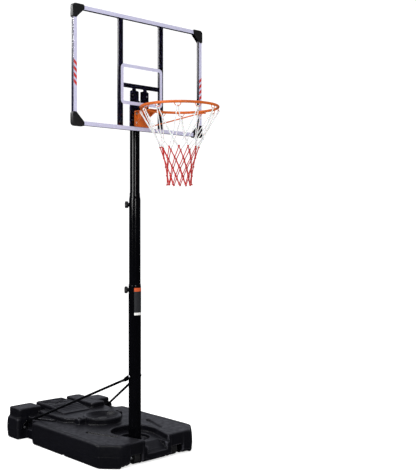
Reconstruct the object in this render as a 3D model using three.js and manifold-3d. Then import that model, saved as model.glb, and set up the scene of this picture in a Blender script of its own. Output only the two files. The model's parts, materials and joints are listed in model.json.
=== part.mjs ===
// Portable basketball hoop: a wheeled ballast tank, a three-piece telescoping pole held by two
// struts, a clear framed backboard and an orange rim with a net.
// Millimetres, +Z up. The pole's axis is X = Y = 0 while the parts are drawn, the rim points to -Y
// and the tank reaches back to +Y. At the end the whole object is moved along Y, so that its
// bounding box is centred over the origin.

import * as THREE from 'three';
import { mergeVertices } from 'three/addons/utils/BufferGeometryUtils.js';
import Module from 'manifold-3d';

const wasm = await Module();
wasm.setup();

// ---------------------------------------------------------------- driving dimensions

const FIT = 0.3; // gap left between pieces that touch

const RIM_HEIGHT = 2173; // centre of the ring's rod above the ground
const RING_RADIUS = 233.5; // to the centre of the rod
const ROD_RADIUS = 8;
const RING_REACH = 426; // ring centre ahead of the pole's axis
const HOOK_COUNT = 12;
const HOOK = { sweep: (4.4 * Math.PI) / 180, drop: 17.5, wire: 2 };
const NET_DROP = 36; // top of the net's shell below the ring
const NET_LENGTH = 440;

const BOARD_WIDTH = 1052;
const BOARD_HEIGHT = 716;
const BOARD_BOTTOM = 2060;
const BOARD_FRONT = 72; // front face of the clear panel ahead of the pole's axis
const PANEL_THICKNESS = 3.5;
const RAIL_FACE = 25; // frame tube, seen from the front
const RAIL_DEPTH = 20;
const RAIL_WALL = 1.5;
const BAR_FACE = 33; // upright bars behind the panel, seen from the front
const BAR_OFFSET = 166; // centre of each vertical bar from the middle
const CROSS_BAR_HEIGHT = 2341;
const TRIM_WIDTH = 24;
const FILM = 0.6; // printed border and target square
const TARGET = { width: 341, bottom: 2219, top: 2472, line: 21, corner: 30 };
const GUARD = { leg: 84, wide: 26, over: 6, wall: 2.3, corner: 24, tip: 12 };

const TUBE_WALL = 2;
const SLIDE_GAP = 0.4;
const LOWER = { radius: 40, bottom: 34, top: 1085, taper: 14, mouth: 38.9 };
const MIDDLE = { radius: 37.2, bottom: 520, top: 1669, taper: 45, mouth: 33.9 };
const UPPER = { radius: 31.8, bottom: 1080, top: 2255 };
const LOWER_KNOB_HEIGHT = 1047;
const UPPER_KNOB_HEIGHT = 1594;
const KNOB_ANGLE = (135 * Math.PI) / 180; // the knobs point back and to the left
const STRUT_BOLT_HEIGHT = 495;

const TANK = {
  half: 385, // half width beside the pole
  rear: 406, // half width behind the strut notches
  front: 220,
  chamfer: 105, // of the front corners at deck level
  toe: 94, // of the front corners at the ground
  back: 925,
  deck: 143,
  centre: 172,
  block: 205,
  wellFloor: 104,
};
const NOTCH = { from: 613, to: 765, inner: 330 }; // side notches that take the strut feet
const STRUT_FOOT = { x: 354, z: 82, thick: 4 };
const STRUT_RADIUS = 8;
const SLOT = { width: 44, length: 240, floor: 66 }; // cut in the deck for each strut
const DISH = { y: 345, radius: 130, floor: 150 };
const WELL = { y: 14, radius: 146, recess: 96, depth: 22, mouth: 88, lip: 62 };
const BOSS = { x: 158, y: 383, half: 27 }; // a raised pad with a blind hole beside the dish
const GROOVE = { x: 216, y: 64, length: 240, width: 28, lean: 0.325 };

const WHEEL = { radius: 38, width: 46, inner: 128, y: -180, z: 40 };
const ARCH = { radius: 46, from: 122, to: 214 }; // the housing each wheel runs in
const FRONT_GAPS = [98, 228]; // gaps between the feet along the front edge
const TIP_HALF = 282; // half width of the slope under the front edge
const AXLE_RADIUS = 6;

const ROUND = 32; // segments round a tube

// ---------------------------------------------------------------- materials

const finish = (color, roughness, metalness, extra = {}) =>
  new THREE.MeshStandardMaterial({ color, roughness, metalness, ...extra });

const BLACK_PAINT = finish(0x111216, 0.28, 0.5);
const TANK_PLASTIC = finish(0x17181d, 0.5, 0);
const BLACK_PLASTIC = finish(0x1b1b1e, 0.45, 0);
const ORANGE_PAINT = finish(0xe2571e, 0.35, 0.3);
const ZINC = finish(0xc9ccd2, 0.3, 1);
const CLEAR_PANEL = finish(0xeef2f8, 0.05, 0, { transparent: true, opacity: 0.2 });
const SILVER_PRINT = finish(0xc8c8df, 0.5, 0);
const LABEL_FILM = finish(0x3a3d42, 0.4, 0);
const NET_CORD = finish(0xf3eeec, 0.8, 0);

// ---------------------------------------------------------------- solids

// A geometry's vertices joined by position, with its faces turned outwards, as a manifold solid.
function solid(geometry) {
  const bare = geometry.clone();
  bare.deleteAttribute('normal');
  bare.deleteAttribute('uv');
  const joined = mergeVertices(bare, 1e-4);
  const p = joined.attributes.position;
  const faces = Array.from(joined.index.array);
  const corner = (i) => new THREE.Vector3().fromBufferAttribute(p, i);
  let volume = 0;
  for (let i = 0; i < faces.length; i += 3) {
    volume += corner(faces[i]).dot(corner(faces[i + 1]).cross(corner(faces[i + 2])));
  }
  if (volume < 0) faces.reverse();
  const mesh = new wasm.Mesh({
    numProp: 3,
    vertProperties: new Float32Array(p.array),
    triVerts: new Uint32Array(faces),
  });
  return new wasm.Manifold(mesh);
}

const join = (...solids) => solids.reduce((a, b) => a.add(b));
const cut = (first, ...tools) => tools.reduce((a, b) => a.subtract(b), first);

function geometryOf(body) {
  const mesh = body.getMesh();
  const geometry = new THREE.BufferGeometry();
  geometry.setAttribute('position', new THREE.BufferAttribute(mesh.vertProperties, 3));
  geometry.setIndex(new THREE.BufferAttribute(mesh.triVerts, 1));
  geometry.computeVertexNormals();
  return geometry;
}

const hoop = new THREE.Group();

// Adds a solid to a group as a named part with a material of its own.
function part(group, name, material, body) {
  const mesh = new THREE.Mesh(geometryOf(body), material.clone());
  mesh.name = name;
  group.add(mesh);
}

// ---------------------------------------------------------------- shapes

// A closed outline through points [x, y, corner radius].
function outline(points) {
  const shape = new THREE.Shape();
  points.forEach(([x, y, r = 0], i) => {
    const here = new THREE.Vector2(x, y);
    if (r === 0) {
      if (i === 0) shape.moveTo(x, y);
      else shape.lineTo(x, y);
      return;
    }
    const before = points[(i + points.length - 1) % points.length];
    const after = points[(i + 1) % points.length];
    const a = new THREE.Vector2(before[0] - x, before[1] - y).setLength(r).add(here);
    const b = new THREE.Vector2(after[0] - x, after[1] - y).setLength(r).add(here);
    if (i === 0) shape.moveTo(a.x, a.y);
    else shape.lineTo(a.x, a.y);
    shape.quadraticCurveTo(x, y, b.x, b.y);
  });
  shape.closePath();
  return shape;
}

const rectangle = (x0, y0, x1, y1, r = 0) =>
  outline([[x0, y0, r], [x1, y0, r], [x1, y1, r], [x0, y1, r]]);

function circle(x, y, radius, sides) {
  const path = new THREE.Path();
  for (let i = 0; i < sides; i += 1) {
    const a = (2 * Math.PI * i) / sides;
    if (i === 0) path.moveTo(x + radius, y);
    else path.lineTo(x + radius * Math.cos(a), y + radius * Math.sin(a));
  }
  path.closePath();
  return path;
}

// A plan outline raised from z0 to z1, with its top edges rounded over by bevel.
function raised(shape, z0, z1, bevel = 0, curveSegments = 3) {
  const geometry = new THREE.ExtrudeGeometry(shape, {
    depth: z1 - z0 - 2 * bevel,
    bevelEnabled: bevel > 0,
    bevelThickness: bevel,
    bevelSize: bevel,
    bevelOffset: -bevel,
    bevelSegments: bevel > 6 ? 2 : 1,
    curveSegments,
  });
  geometry.translate(0, 0, z0 + bevel);
  return solid(geometry);
}

// An upright outline (X across, Z up) that fills the depth from y0 to y1.
function upright(shape, y0, y1, bevel = 0) {
  const geometry = new THREE.ExtrudeGeometry(shape, {
    depth: y1 - y0 - 2 * bevel,
    bevelEnabled: bevel > 0,
    bevelThickness: bevel,
    bevelSize: bevel,
    bevelOffset: -bevel,
    bevelSegments: 1,
    curveSegments: 5,
  });
  geometry.rotateX(Math.PI / 2);
  geometry.translate(0, y1 - bevel, 0);
  return solid(geometry);
}

function block(x0, x1, y0, y1, z0, z1) {
  const geometry = new THREE.BoxGeometry(x1 - x0, y1 - y0, z1 - z0);
  geometry.translate((x0 + x1) / 2, (y0 + y1) / 2, (z0 + z1) / 2);
  return solid(geometry);
}

// A solid of revolution about Z through points [radius, z].
function turned(profile, segments = ROUND) {
  const points = profile.map(([r, z]) => new THREE.Vector2(r, z));
  const geometry = new THREE.LatheGeometry(points, segments);
  geometry.rotateX(Math.PI / 2);
  return solid(geometry);
}

const ring = (inner, outer, z0, z1, segments = ROUND) =>
  turned([[inner, z0], [outer, z0], [outer, z1], [inner, z1], [inner, z0]], segments);

// A rod between two points; six sides make a hexagon head or nut.
function rod(from, to, radius, sides = 12) {
  const a = new THREE.Vector3(...from);
  const b = new THREE.Vector3(...to);
  const axis = b.clone().sub(a);
  const geometry = new THREE.CylinderGeometry(radius, radius, axis.length(), sides);
  const turn = new THREE.Quaternion().setFromUnitVectors(
    new THREE.Vector3(0, 1, 0),
    axis.clone().normalize(),
  );
  geometry.applyQuaternion(turn);
  geometry.translate(...a.add(b).multiplyScalar(0.5).toArray());
  return solid(geometry);
}

// A round bar that follows a curve.
function bent(curve, radius, steps, sides = 8) {
  const section = new THREE.Shape(circle(0, 0, radius, sides).getPoints());
  return solid(new THREE.ExtrudeGeometry(section, { steps, bevelEnabled: false, extrudePath: curve }));
}

// A pole tube whose top end is swaged in to guide the next tube.
function poleTube({ radius, bottom, top, taper, mouth }, bore) {
  const inner = radius - TUBE_WALL;
  return turned([
    [inner, bottom],
    [radius, bottom],
    [radius, top - taper],
    [mouth, top - taper / 3],
    [mouth, top],
    [bore, top],
    [bore, top - taper / 3],
    [inner, top - taper - TUBE_WALL],
    [inner, bottom],
  ]);
}

// ---------------------------------------------------------------- ballast tank

// The ends of a strut's round length, between its two flattened ends.
function strutLine(side) {
  const drop = STRUT_BOLT_HEIGHT - STRUT_FOOT.z;
  const near = LOWER.radius + SLIDE_GAP + STRUT_FOOT.thick / 2 + 4;
  const rise = Math.atan2(drop, STRUT_FOOT.x - near);
  const fall = Math.atan2(drop, NOTCH.to);
  const reach = { top: 60, foot: 40 };
  return {
    rise,
    fall,
    from: [side * near, reach.top * Math.cos(fall), STRUT_BOLT_HEIGHT - reach.top * Math.sin(fall)],
    to: [
      side * (STRUT_FOOT.x - reach.foot * Math.cos(rise)),
      NOTCH.to - SLIDE_GAP - STRUT_FOOT.thick / 2 - 4,
      STRUT_FOOT.z + reach.foot * Math.sin(rise),
    ],
  };
}

// One side of the tank's outline: chamfered front corner, strut notch, chamfered rear corner.
function tankSide(side, chamfer) {
  const { half, rear, front, back } = TANK;
  return [
    [side * (half - chamfer), -front, 20],
    [side * half, -front + chamfer, 20],
    [side * half, NOTCH.from, 18],
    [side * NOTCH.inner, NOTCH.from + 14, 8],
    [side * NOTCH.inner, NOTCH.to, 4],
    [side * rear, NOTCH.to, 18],
    [side * rear, back - 32, 18],
    [side * (rear - 32), back, 18],
  ];
}

// The lower body, whose front corners are cut back further at the deck than at the ground.
function tankBody() {
  const { deck, chamfer, toe } = TANK;
  const bevel = 7;
  const [ground, top] = [toe, chamfer].map((size) => {
    const shape = outline([...tankSide(1, size), ...tankSide(-1, size).reverse()]);
    return new THREE.ExtrudeGeometry(shape, {
      depth: deck - 2 * bevel,
      bevelThickness: bevel,
      bevelSize: bevel,
      bevelOffset: -bevel,
      bevelSegments: 2,
      curveSegments: 3,
    });
  });
  const low = ground.attributes.position;
  const high = top.attributes.position;
  for (let i = 0; i < low.count; i += 1) {
    const share = (low.getZ(i) + bevel) / deck;
    low.setX(i, THREE.MathUtils.lerp(low.getX(i), high.getX(i), share));
    low.setY(i, THREE.MathUtils.lerp(low.getY(i), high.getY(i), share));
    low.setZ(i, low.getZ(i) + bevel);
  }
  return solid(ground);
}

// The body with the middle that rises behind the pole and the blocks along the back.
function tankMass() {
  const { rear, back, centre, block: top } = TANK;
  const low = 60;
  const middle = outline([
    [-118, DISH.y, 10], [118, DISH.y, 10], [222, 470, 30],
    [232, 790, 20], [-232, 790, 20], [-222, 470, 30],
  ]);
  const dish = [[0, low], [DISH.radius, low], [DISH.radius, centre + 8],
    [DISH.radius - 6, centre + 14], [0, centre + 14]];
  const pads = [-1, 1].map((side) => {
    const { x, y, half } = BOSS;
    const pad = rectangle(side * x - half, y - half, side * x + half, y + half, 12);
    return raised(pad, low, centre + 8, 5);
  });
  return join(
    tankBody(),
    raised(middle, low, centre, 6),
    raised(rectangle(-rear + 19, NOTCH.to + 6, -208, back - 12, 22), low, top, 8),
    raised(rectangle(-166, 560, 60, back - 2, 22), low, top - 2, 8),
    raised(rectangle(96, 596, 214, back, 22), low, top, 8),
    raised(rectangle(250, NOTCH.to + 6, rear - 19, back - 14, 20), low, centre + 8, 8),
    ...pads,
    turned(dish).translate([0, DISH.y, 0]),
  );
}

// Everything that is let into the tank from above.
function tankTopCuts() {
  const { front, centre, block: top, wellFloor } = TANK;
  const open = top + 60;
  const dish = [[0, DISH.floor], [62, DISH.floor], [88, centre - 8],
    [DISH.radius - 14, centre + 15], [0, centre + 15]];
  const slots = [-1, 1].map((side) => {
    const { from, to } = strutLine(side);
    const geometry = new THREE.BoxGeometry(SLOT.width, SLOT.length, open - SLOT.floor);
    geometry.translate(0, 9 - SLOT.length / 2, (open + SLOT.floor) / 2);
    geometry.rotateZ(-Math.atan2(to[0] - from[0], to[1] - from[1]));
    geometry.translate(to[0], to[1], 0);
    return solid(geometry);
  });
  const pocket = outline([
    [-WELL.mouth, -front - 20],
    [WELL.mouth, -front - 20],
    [WELL.radius, WELL.y - 40, 30],
    [WELL.radius - 4, WELL.y + 70, 45],
    [60, WELL.y + 142, 45],
    [-60, WELL.y + 142, 45],
    [-WELL.radius + 4, WELL.y + 70, 45],
    [-WELL.radius, WELL.y - 40, 30],
  ]);
  const chute = new THREE.BoxGeometry(2 * WELL.mouth - 16, 160, 60);
  chute.translate(0, -80, 30);
  chute.rotateX(Math.atan2(wellFloor - WELL.lip, front - WELL.recess - 40));
  chute.translate(0, -WELL.recess - 40, wellFloor);
  const grooves = [-1, 1].map((side) => {
    const { x, y, length, width, lean } = GROOVE;
    const slot = raised(rectangle(-width / 2, -length / 2, width / 2, length / 2, 12),
      TANK.deck - 12, open);
    return slot.rotate([0, 0, (side * lean * -180) / Math.PI]).translate([side * x, y, 0]);
  });
  const holes = [-1, 1].map((side) => {
    const { x, y } = BOSS;
    return rod([side * x, y, centre - 20], [side * x, y, open], 14, 16);
  });
  return [
    raised(pocket, wellFloor, open),
    rod([0, 0, wellFloor - WELL.depth], [0, 0, open], WELL.recess, 28),
    solid(chute),
    turned(dish).translate([0, DISH.y, 0]),
    rod([0, DISH.y, 108], [0, DISH.y, DISH.floor + 1], 24, 24),
    ...holes,
    ...grooves,
    ...slots,
  ];
}

// Wheel arches, axle bore, bolt bores, and the front edge's slope and gaps.
function tankUnderCuts() {
  const { front, half } = TANK;
  const { y, z } = WHEEL;
  const cuts = [-1, 1].flatMap((side) => {
    const [x0, x1] = [side * ARCH.from, side * ARCH.to].sort((a, b) => a - b);
    const foot = side * STRUT_FOOT.x;
    const [rib0, rib1] = [side * (half - 121), side * (half + 1)].sort((a, b) => a - b);
    return [
      rod([x0, y, z], [x1, y, z], ARCH.radius, 24),
      block(x0, x1, y - ARCH.radius, y + ARCH.radius, -1, z),
      rod([foot, NOTCH.to - 1, STRUT_FOOT.z], [foot, NOTCH.to + 32, STRUT_FOOT.z], 4.5),
      block(rib0, rib1, 240, 264, -1, 12),
      ...FRONT_GAPS.map((x) => block(side * x - 8, side * x + 8, -front - 9, -front + 70, -1, 26)),
    ];
  });
  cuts.push(rod([-ARCH.from - 2, y, z], [ARCH.from + 2, y, z], AXLE_RADIUS + FIT));

  // The slope lets the hoop tip forward until its wheels carry it.
  const slope = outline([[-front - 2, -2], [-front - 2, 21], [-front, 20], [-front + 34, -2]]);
  const geometry = new THREE.ExtrudeGeometry(slope, { depth: 2 * TIP_HALF, bevelEnabled: false });
  geometry.applyMatrix4(new THREE.Matrix4().makeBasis(
    new THREE.Vector3(0, 1, 0),
    new THREE.Vector3(0, 0, 1),
    new THREE.Vector3(1, 0, 0),
  ));
  geometry.translate(-TIP_HALF, 0, 0);
  cuts.push(solid(geometry));
  return cuts;
}

function makeTank() {
  const { wellFloor } = TANK;
  const body = cut(tankMass(), ...tankTopCuts(), ...tankUnderCuts());
  const low = wellFloor - WELL.depth;
  const collar = ring(44, 62, low - 4, low + 12);
  const socket = rod([0, 0, LOWER.bottom - 1], [0, 0, low + 20], LOWER.radius + FIT, ROUND);
  part(hoop, 'ballast_tank', TANK_PLASTIC, cut(join(body, collar), socket));

  const grip = [];
  for (let i = 0; i < 10; i += 1) {
    const a = (2 * Math.PI * i) / 10;
    grip.push(rod([34 * Math.cos(a), 34 * Math.sin(a), 0], [34 * Math.cos(a), 34 * Math.sin(a), 30], 4, 8));
  }
  const cap = turned([[0, -26], [23.4, -26], [23.4, FIT], [32, FIT], [32, 12], [29, 15], [0, 15]]);
  const fillCap = new THREE.Group();
  fillCap.position.set(0, DISH.y, DISH.floor);
  hoop.add(fillCap);
  part(fillCap, 'fill_cap', BLACK_PLASTIC, cut(cap, ...grip));
}

// ---------------------------------------------------------------- transport wheels

function makeWheels() {
  const { radius, width, inner, y, z } = WHEEL;
  const end = inner + width + 18;
  part(hoop, 'axle', ZINC, rod([-end, y, z], [end, y, z], AXLE_RADIUS, 20));
  const half = width / 2;
  const bore = AXLE_RADIUS + 0.25;
  const tyre = [
    [bore, -half], [16, -half], [17, -half + 8], [radius - 10, -half + 8], [radius - 8, -half],
    [radius - 3, -half], [radius, -half + 4], [radius, half - 4], [radius - 3, half],
    [radius - 8, half], [radius - 10, half - 8], [17, half - 8], [16, half], [bore, half],
    [bore, -half],
  ];
  [-1, 1].forEach((side) => {
    const name = side < 0 ? 'left' : 'right';
    const hub = new THREE.Group();
    hub.position.set(side * (inner + half), y, z);
    hub.rotation.y = Math.PI / 2;
    hoop.add(hub);
    part(hub, `wheel_${name}`, BLACK_PLASTIC, turned(tyre, 22));
    const clip = new THREE.Group();
    clip.position.set(side * (inner + width + 6), y, z);
    clip.rotation.y = (side * Math.PI) / 2;
    hoop.add(clip);
    const push = [[AXLE_RADIUS + FIT, -2], [13, -2], [11, 2], [AXLE_RADIUS + FIT, 2],
      [AXLE_RADIUS + FIT, -2]];
    part(clip, `axle_clip_${name}`, ZINC, turned(push, 20));
  });
}

// ---------------------------------------------------------------- pole and locking knobs

// The direction from the pole's axis out through a knob, at a given distance and height.
const outward = (distance, height) =>
  [distance * Math.cos(KNOB_ANGLE), distance * Math.sin(KNOB_ANGLE), height];

const screwHole = (tube, height) =>
  rod(outward(tube.radius - 8, height), outward(tube.radius + 8, height), 5.6, 12);

// The boss welded to a tube, and the knob and the screw that it carries.
function makeKnob(name, tube, innerTube, height) {
  const seat = tube.radius + 6;
  const boss = cut(
    rod(outward(tube.radius - 4, height), outward(seat, height), 13, 16),
    rod([0, 0, height - 30], [0, 0, height + 30], tube.radius + FIT, ROUND),
    rod(outward(tube.radius - 8, height), outward(seat + 2, height), 5.4, 12),
  );
  part(hoop, `${name}_knob_boss`, BLACK_PAINT, boss);
  const screw = rod(outward(innerTube.radius + 0.6, height), outward(seat + 15, height), 5, 12);
  part(hoop, `${name}_knob_screw`, ZINC, screw);

  const points = [];
  const lobes = 7;
  const steps = lobes * 4;
  for (let i = 0; i < steps; i += 1) {
    const a = (2 * Math.PI * i) / steps;
    const r = 20.5 + 2.5 * Math.cos(lobes * a);
    points.push([r * Math.cos(a), r * Math.sin(a)]);
  }
  const body = cut(raised(outline(points), FIT, 20, 3), rod([0, 0, -1], [0, 0, 15.6], 5.3, 12));
  const grip = new THREE.Group();
  grip.position.set(...outward(seat, height));
  grip.rotation.set(0, Math.PI / 2, KNOB_ANGLE, 'ZYX');
  hoop.add(grip);
  part(grip, `${name}_knob`, BLACK_PLASTIC, body);
}

function makePole() {
  const crossHole = rod([-50, 0, STRUT_BOLT_HEIGHT], [50, 0, STRUT_BOLT_HEIGHT], 5, 12);
  const lower = cut(
    poleTube(LOWER, MIDDLE.radius + SLIDE_GAP),
    crossHole,
    screwHole(LOWER, LOWER_KNOB_HEIGHT),
  );
  part(hoop, 'pole_lower_tube', BLACK_PAINT, lower);
  const middle = cut(poleTube(MIDDLE, UPPER.radius + SLIDE_GAP), screwHole(MIDDLE, UPPER_KNOB_HEIGHT));
  part(hoop, 'pole_middle_tube', BLACK_PAINT, middle);
  const clampHoles = CLAMP_HEIGHTS.map((z) => rod([-40, 0, z], [40, 0, z], 4.5, 12));
  const upper = ring(UPPER.radius - TUBE_WALL, UPPER.radius, UPPER.bottom, UPPER.top);
  part(hoop, 'pole_upper_tube', BLACK_PAINT, cut(upper, ...clampHoles));

  const glide = ring(UPPER.radius + FIT, MIDDLE.radius - TUBE_WALL - SLIDE_GAP,
    UPPER.bottom + 4, UPPER.bottom + 46);
  part(hoop, 'upper_tube_glide', BLACK_PLASTIC, glide);
  const plug = UPPER.radius - TUBE_WALL - FIT;
  const top = UPPER.top + FIT;
  const cap = [[0, top - 16], [plug, top - 16], [plug, top], [UPPER.radius, top],
    [UPPER.radius - 1, top + 3.5], [UPPER.radius - 7, top + 6], [0, top + 7]];
  part(hoop, 'pole_top_cap', BLACK_PLASTIC, turned(cap));

  makeKnob('lower', LOWER, MIDDLE, LOWER_KNOB_HEIGHT);
  makeKnob('upper', MIDDLE, UPPER, UPPER_KNOB_HEIGHT);
}

// A blank film label wrapped over a quarter of the lower tube's front.
function makeLabel() {
  const inner = LOWER.radius + FIT;
  const shape = new THREE.Shape();
  shape.absarc(0, 0, inner + FILM, (-3 * Math.PI) / 4, -Math.PI / 4, false);
  shape.absarc(0, 0, inner, -Math.PI / 4, (-3 * Math.PI) / 4, true);
  shape.closePath();
  part(hoop, 'pole_label', LABEL_FILM, raised(shape, 888, 1062, 0, 12));
}

// ---------------------------------------------------------------- struts

// A flat strut end: an eye round a bolt at the origin, running along +X.
function flatEnd(length, half) {
  const shape = outline([
    [-half + 1, -half, half * 0.6],
    [length - 12, -half, 4],
    [length, -STRUT_RADIUS, 3],
    [length, STRUT_RADIUS, 3],
    [length - 12, half, 4],
    [-half + 1, half, half * 0.6],
  ]);
  return new THREE.ExtrudeGeometry(shape, {
    depth: STRUT_FOOT.thick,
    bevelEnabled: false,
    curveSegments: 4,
  });
}

// Each strut is a rod with flattened ends: one bolts to the pole's side, the other to the tank.
function makeStrut(side) {
  const name = side < 0 ? 'left' : 'right';
  const { thick, x, z } = STRUT_FOOT;
  const near = LOWER.radius + SLIDE_GAP;
  const far = NOTCH.to - SLIDE_GAP;
  const { rise, fall, from, to } = strutLine(side);

  // Upper end, in the plane of the pole's side: local X runs back and down, local Z along X.
  const upper = flatEnd(76, 15);
  upper.applyMatrix4(new THREE.Matrix4().makeBasis(
    new THREE.Vector3(0, Math.cos(fall), -Math.sin(fall)),
    new THREE.Vector3(0, Math.sin(fall), Math.cos(fall)),
    new THREE.Vector3(1, 0, 0),
  ));
  upper.translate(side < 0 ? -near - thick : near, 0, STRUT_BOLT_HEIGHT);

  // Lower end, flat against the back wall of the notch: local Z along Y.
  const lower = flatEnd(56, 14);
  const inward = new THREE.Vector3(-side * Math.cos(rise), 0, Math.sin(rise));
  const through = new THREE.Vector3(0, 1, 0);
  lower.applyMatrix4(new THREE.Matrix4().makeBasis(inward, through.clone().cross(inward), through));
  lower.translate(side * x, far - thick, z);

  const body = cut(
    join(solid(upper), solid(lower), rod(from, to, STRUT_RADIUS, 16)),
    rod([side * 30, 0, STRUT_BOLT_HEIGHT], [side * 60, 0, STRUT_BOLT_HEIGHT], 5, 12),
    rod([side * x, far - 20, z], [side * x, far + 20, z], 4.6, 12),
  );
  part(hoop, `strut_${name}`, BLACK_PAINT, body);

  const head = far - thick - FIT;
  const bolt = join(
    rod([side * x, head - 6, z], [side * x, head, z], 8, 6),
    rod([side * x, head - 1, z], [side * x, head + 28, z], 4, 12),
  );
  part(hoop, `strut_foot_bolt_${name}`, ZINC, bolt);
}

// The bolt through the pole that holds both struts: a domed head on one side, a nut on the other.
function makeStrutBolt() {
  const face = LOWER.radius + SLIDE_GAP + STRUT_FOOT.thick + FIT;
  const dome = (side) => turned([[0, 0], [9, 0], [9, 2], [7.6, 4.6], [4.6, 6.4], [0, 7]], 16)
    .rotate([0, side * 90, 0])
    .translate([side * face, 0, STRUT_BOLT_HEIGHT]);
  const along = (x0, x1, radius) =>
    rod([x0, 0, STRUT_BOLT_HEIGHT], [x1, 0, STRUT_BOLT_HEIGHT], radius, 12);
  part(hoop, 'strut_cross_bolt', ZINC, join(dome(-1), along(-face - 1, face + 3, 4.5)));
  part(hoop, 'strut_cross_nut', ZINC, cut(dome(1), along(face - 1, face + 4, 4.8)));
}

// ---------------------------------------------------------------- backboard

const BOARD_TOP = BOARD_BOTTOM + BOARD_HEIGHT;
const PANEL_BACK = -BOARD_FRONT + PANEL_THICKNESS;
const FRAME_FRONT = PANEL_BACK + FIT;
const FRAME_BACK = FRAME_FRONT + RAIL_DEPTH;
const RIM_BOLTS = [[-46, 2107], [46, 2107], [-46, 2168], [46, 2168]];
const RIM_BOLT_RADIUS = 4;
const CLAMP_HEIGHTS = [2125, 2225]; // bolts through the bracket and the upper tube

const roundHoles = (shape, centres, radius, sides = 14) => {
  centres.forEach(([x, z]) => shape.holes.push(circle(x, z, radius, sides)));
  return shape;
};

// A rectangular steel tube along X or Z, centred on the frame's depth.
function frameTube(alongX, middle, from, to, face = RAIL_FACE) {
  const y = (FRAME_FRONT + FRAME_BACK) / 2;
  const section = rectangle(-face / 2, -RAIL_DEPTH / 2, face / 2, RAIL_DEPTH / 2);
  const inside = rectangle(
    -face / 2 + RAIL_WALL, -RAIL_DEPTH / 2 + RAIL_WALL,
    face / 2 - RAIL_WALL, RAIL_DEPTH / 2 - RAIL_WALL,
  );
  section.holes.push(inside);
  const geometry = new THREE.ExtrudeGeometry(section, { depth: to - from, bevelEnabled: false });
  if (alongX) {
    geometry.rotateY(Math.PI / 2);
    geometry.translate(from, y, middle);
  } else {
    geometry.translate(middle, y, from);
  }
  return solid(geometry);
}

function makeFrame() {
  const half = BOARD_WIDTH / 2;
  const inset = RAIL_FACE / 2;
  const low = BOARD_BOTTOM + RAIL_FACE + FIT;
  const high = BOARD_TOP - RAIL_FACE - FIT;
  part(hoop, 'frame_top_rail', BLACK_PAINT, frameTube(true, BOARD_TOP - inset, -half, half));
  part(hoop, 'frame_bottom_rail', BLACK_PAINT, frameTube(true, BOARD_BOTTOM + inset, -half, half));
  [-1, 1].forEach((side) => {
    const name = side < 0 ? 'left' : 'right';
    part(hoop, `frame_${name}_rail`, BLACK_PAINT, frameTube(false, side * (half - inset), low, high));
    const bar = frameTube(false, side * BAR_OFFSET, low, high, BAR_FACE);
    part(hoop, `frame_${name}_bar`, BLACK_PAINT, bar);
  });
  const reach = BAR_OFFSET - BAR_FACE / 2 - FIT;
  part(hoop, 'frame_cross_bar', BLACK_PAINT, frameTube(true, CROSS_BAR_HEIGHT, -reach, reach));
}

function makePanel() {
  const half = BOARD_WIDTH / 2;
  const sheet = roundHoles(rectangle(-half, BOARD_BOTTOM, half, BOARD_TOP), RIM_BOLTS, 4.8);
  part(hoop, 'clear_panel', CLEAR_PANEL, upright(sheet, -BOARD_FRONT, PANEL_BACK));

  const front = -BOARD_FRONT - FIT;
  const border = rectangle(-half, BOARD_BOTTOM, half, BOARD_TOP);
  border.holes.push(rectangle(-half + TRIM_WIDTH, BOARD_BOTTOM + TRIM_WIDTH,
    half - TRIM_WIDTH, BOARD_TOP - TRIM_WIDTH));
  part(hoop, 'border_trim', SILVER_PRINT, upright(border, front - FILM, front));

  const { width, bottom, top, line, corner } = TARGET;
  const square = rectangle(-width / 2, bottom, width / 2, top, corner);
  square.holes.push(rectangle(-width / 2 + line, bottom + line, width / 2 - line, top - line, corner - 16));
  part(hoop, 'target_square', SILVER_PRINT, upright(square, front - FILM, front));
}

// A cap that wraps each corner of the board, cut off at a slant inside.
function makeGuards() {
  const { leg, wide, over, wall, corner, tip } = GUARD;
  const half = BOARD_WIDTH / 2;
  const front = -BOARD_FRONT - 2 * FIT - FILM - wall;
  const back = FRAME_BACK + FIT + wall;
  const frameBox = block(-half - FIT, half + FIT, front + wall, back - wall,
    BOARD_BOTTOM - FIT, BOARD_TOP + FIT);
  [[-1, 1], [1, 1], [-1, -1], [1, -1]].forEach(([across, up]) => {
    const x = (inset) => across * (half + over - inset);
    const z = (inset) => (up > 0 ? BOARD_TOP + over - inset : BOARD_BOTTOM - over + inset);
    const shape = outline([
      [x(leg), z(0), tip],
      [x(0), z(0), corner],
      [x(0), z(leg), tip],
      [x(wide), z(leg), 8],
      [x(leg), z(wide), 8],
    ]);
    const name = `corner_guard_${up > 0 ? 'top' : 'bottom'}_${across < 0 ? 'left' : 'right'}`;
    part(hoop, name, BLACK_PLASTIC, cut(upright(shape, front, back, 1), frameBox));
  });
}

// ---------------------------------------------------------------- pole bracket

const PLATE = { front: FRAME_BACK + FIT, thick: 3 };
const FLANGE = { front: FRAME_BACK + 2 * FIT + 3, thick: 3 };
const FACE_BOLTS = [2129, 2287];
const FACE_BOLT_X = 58;
const NUT_RADIUS = 8.5;

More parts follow.
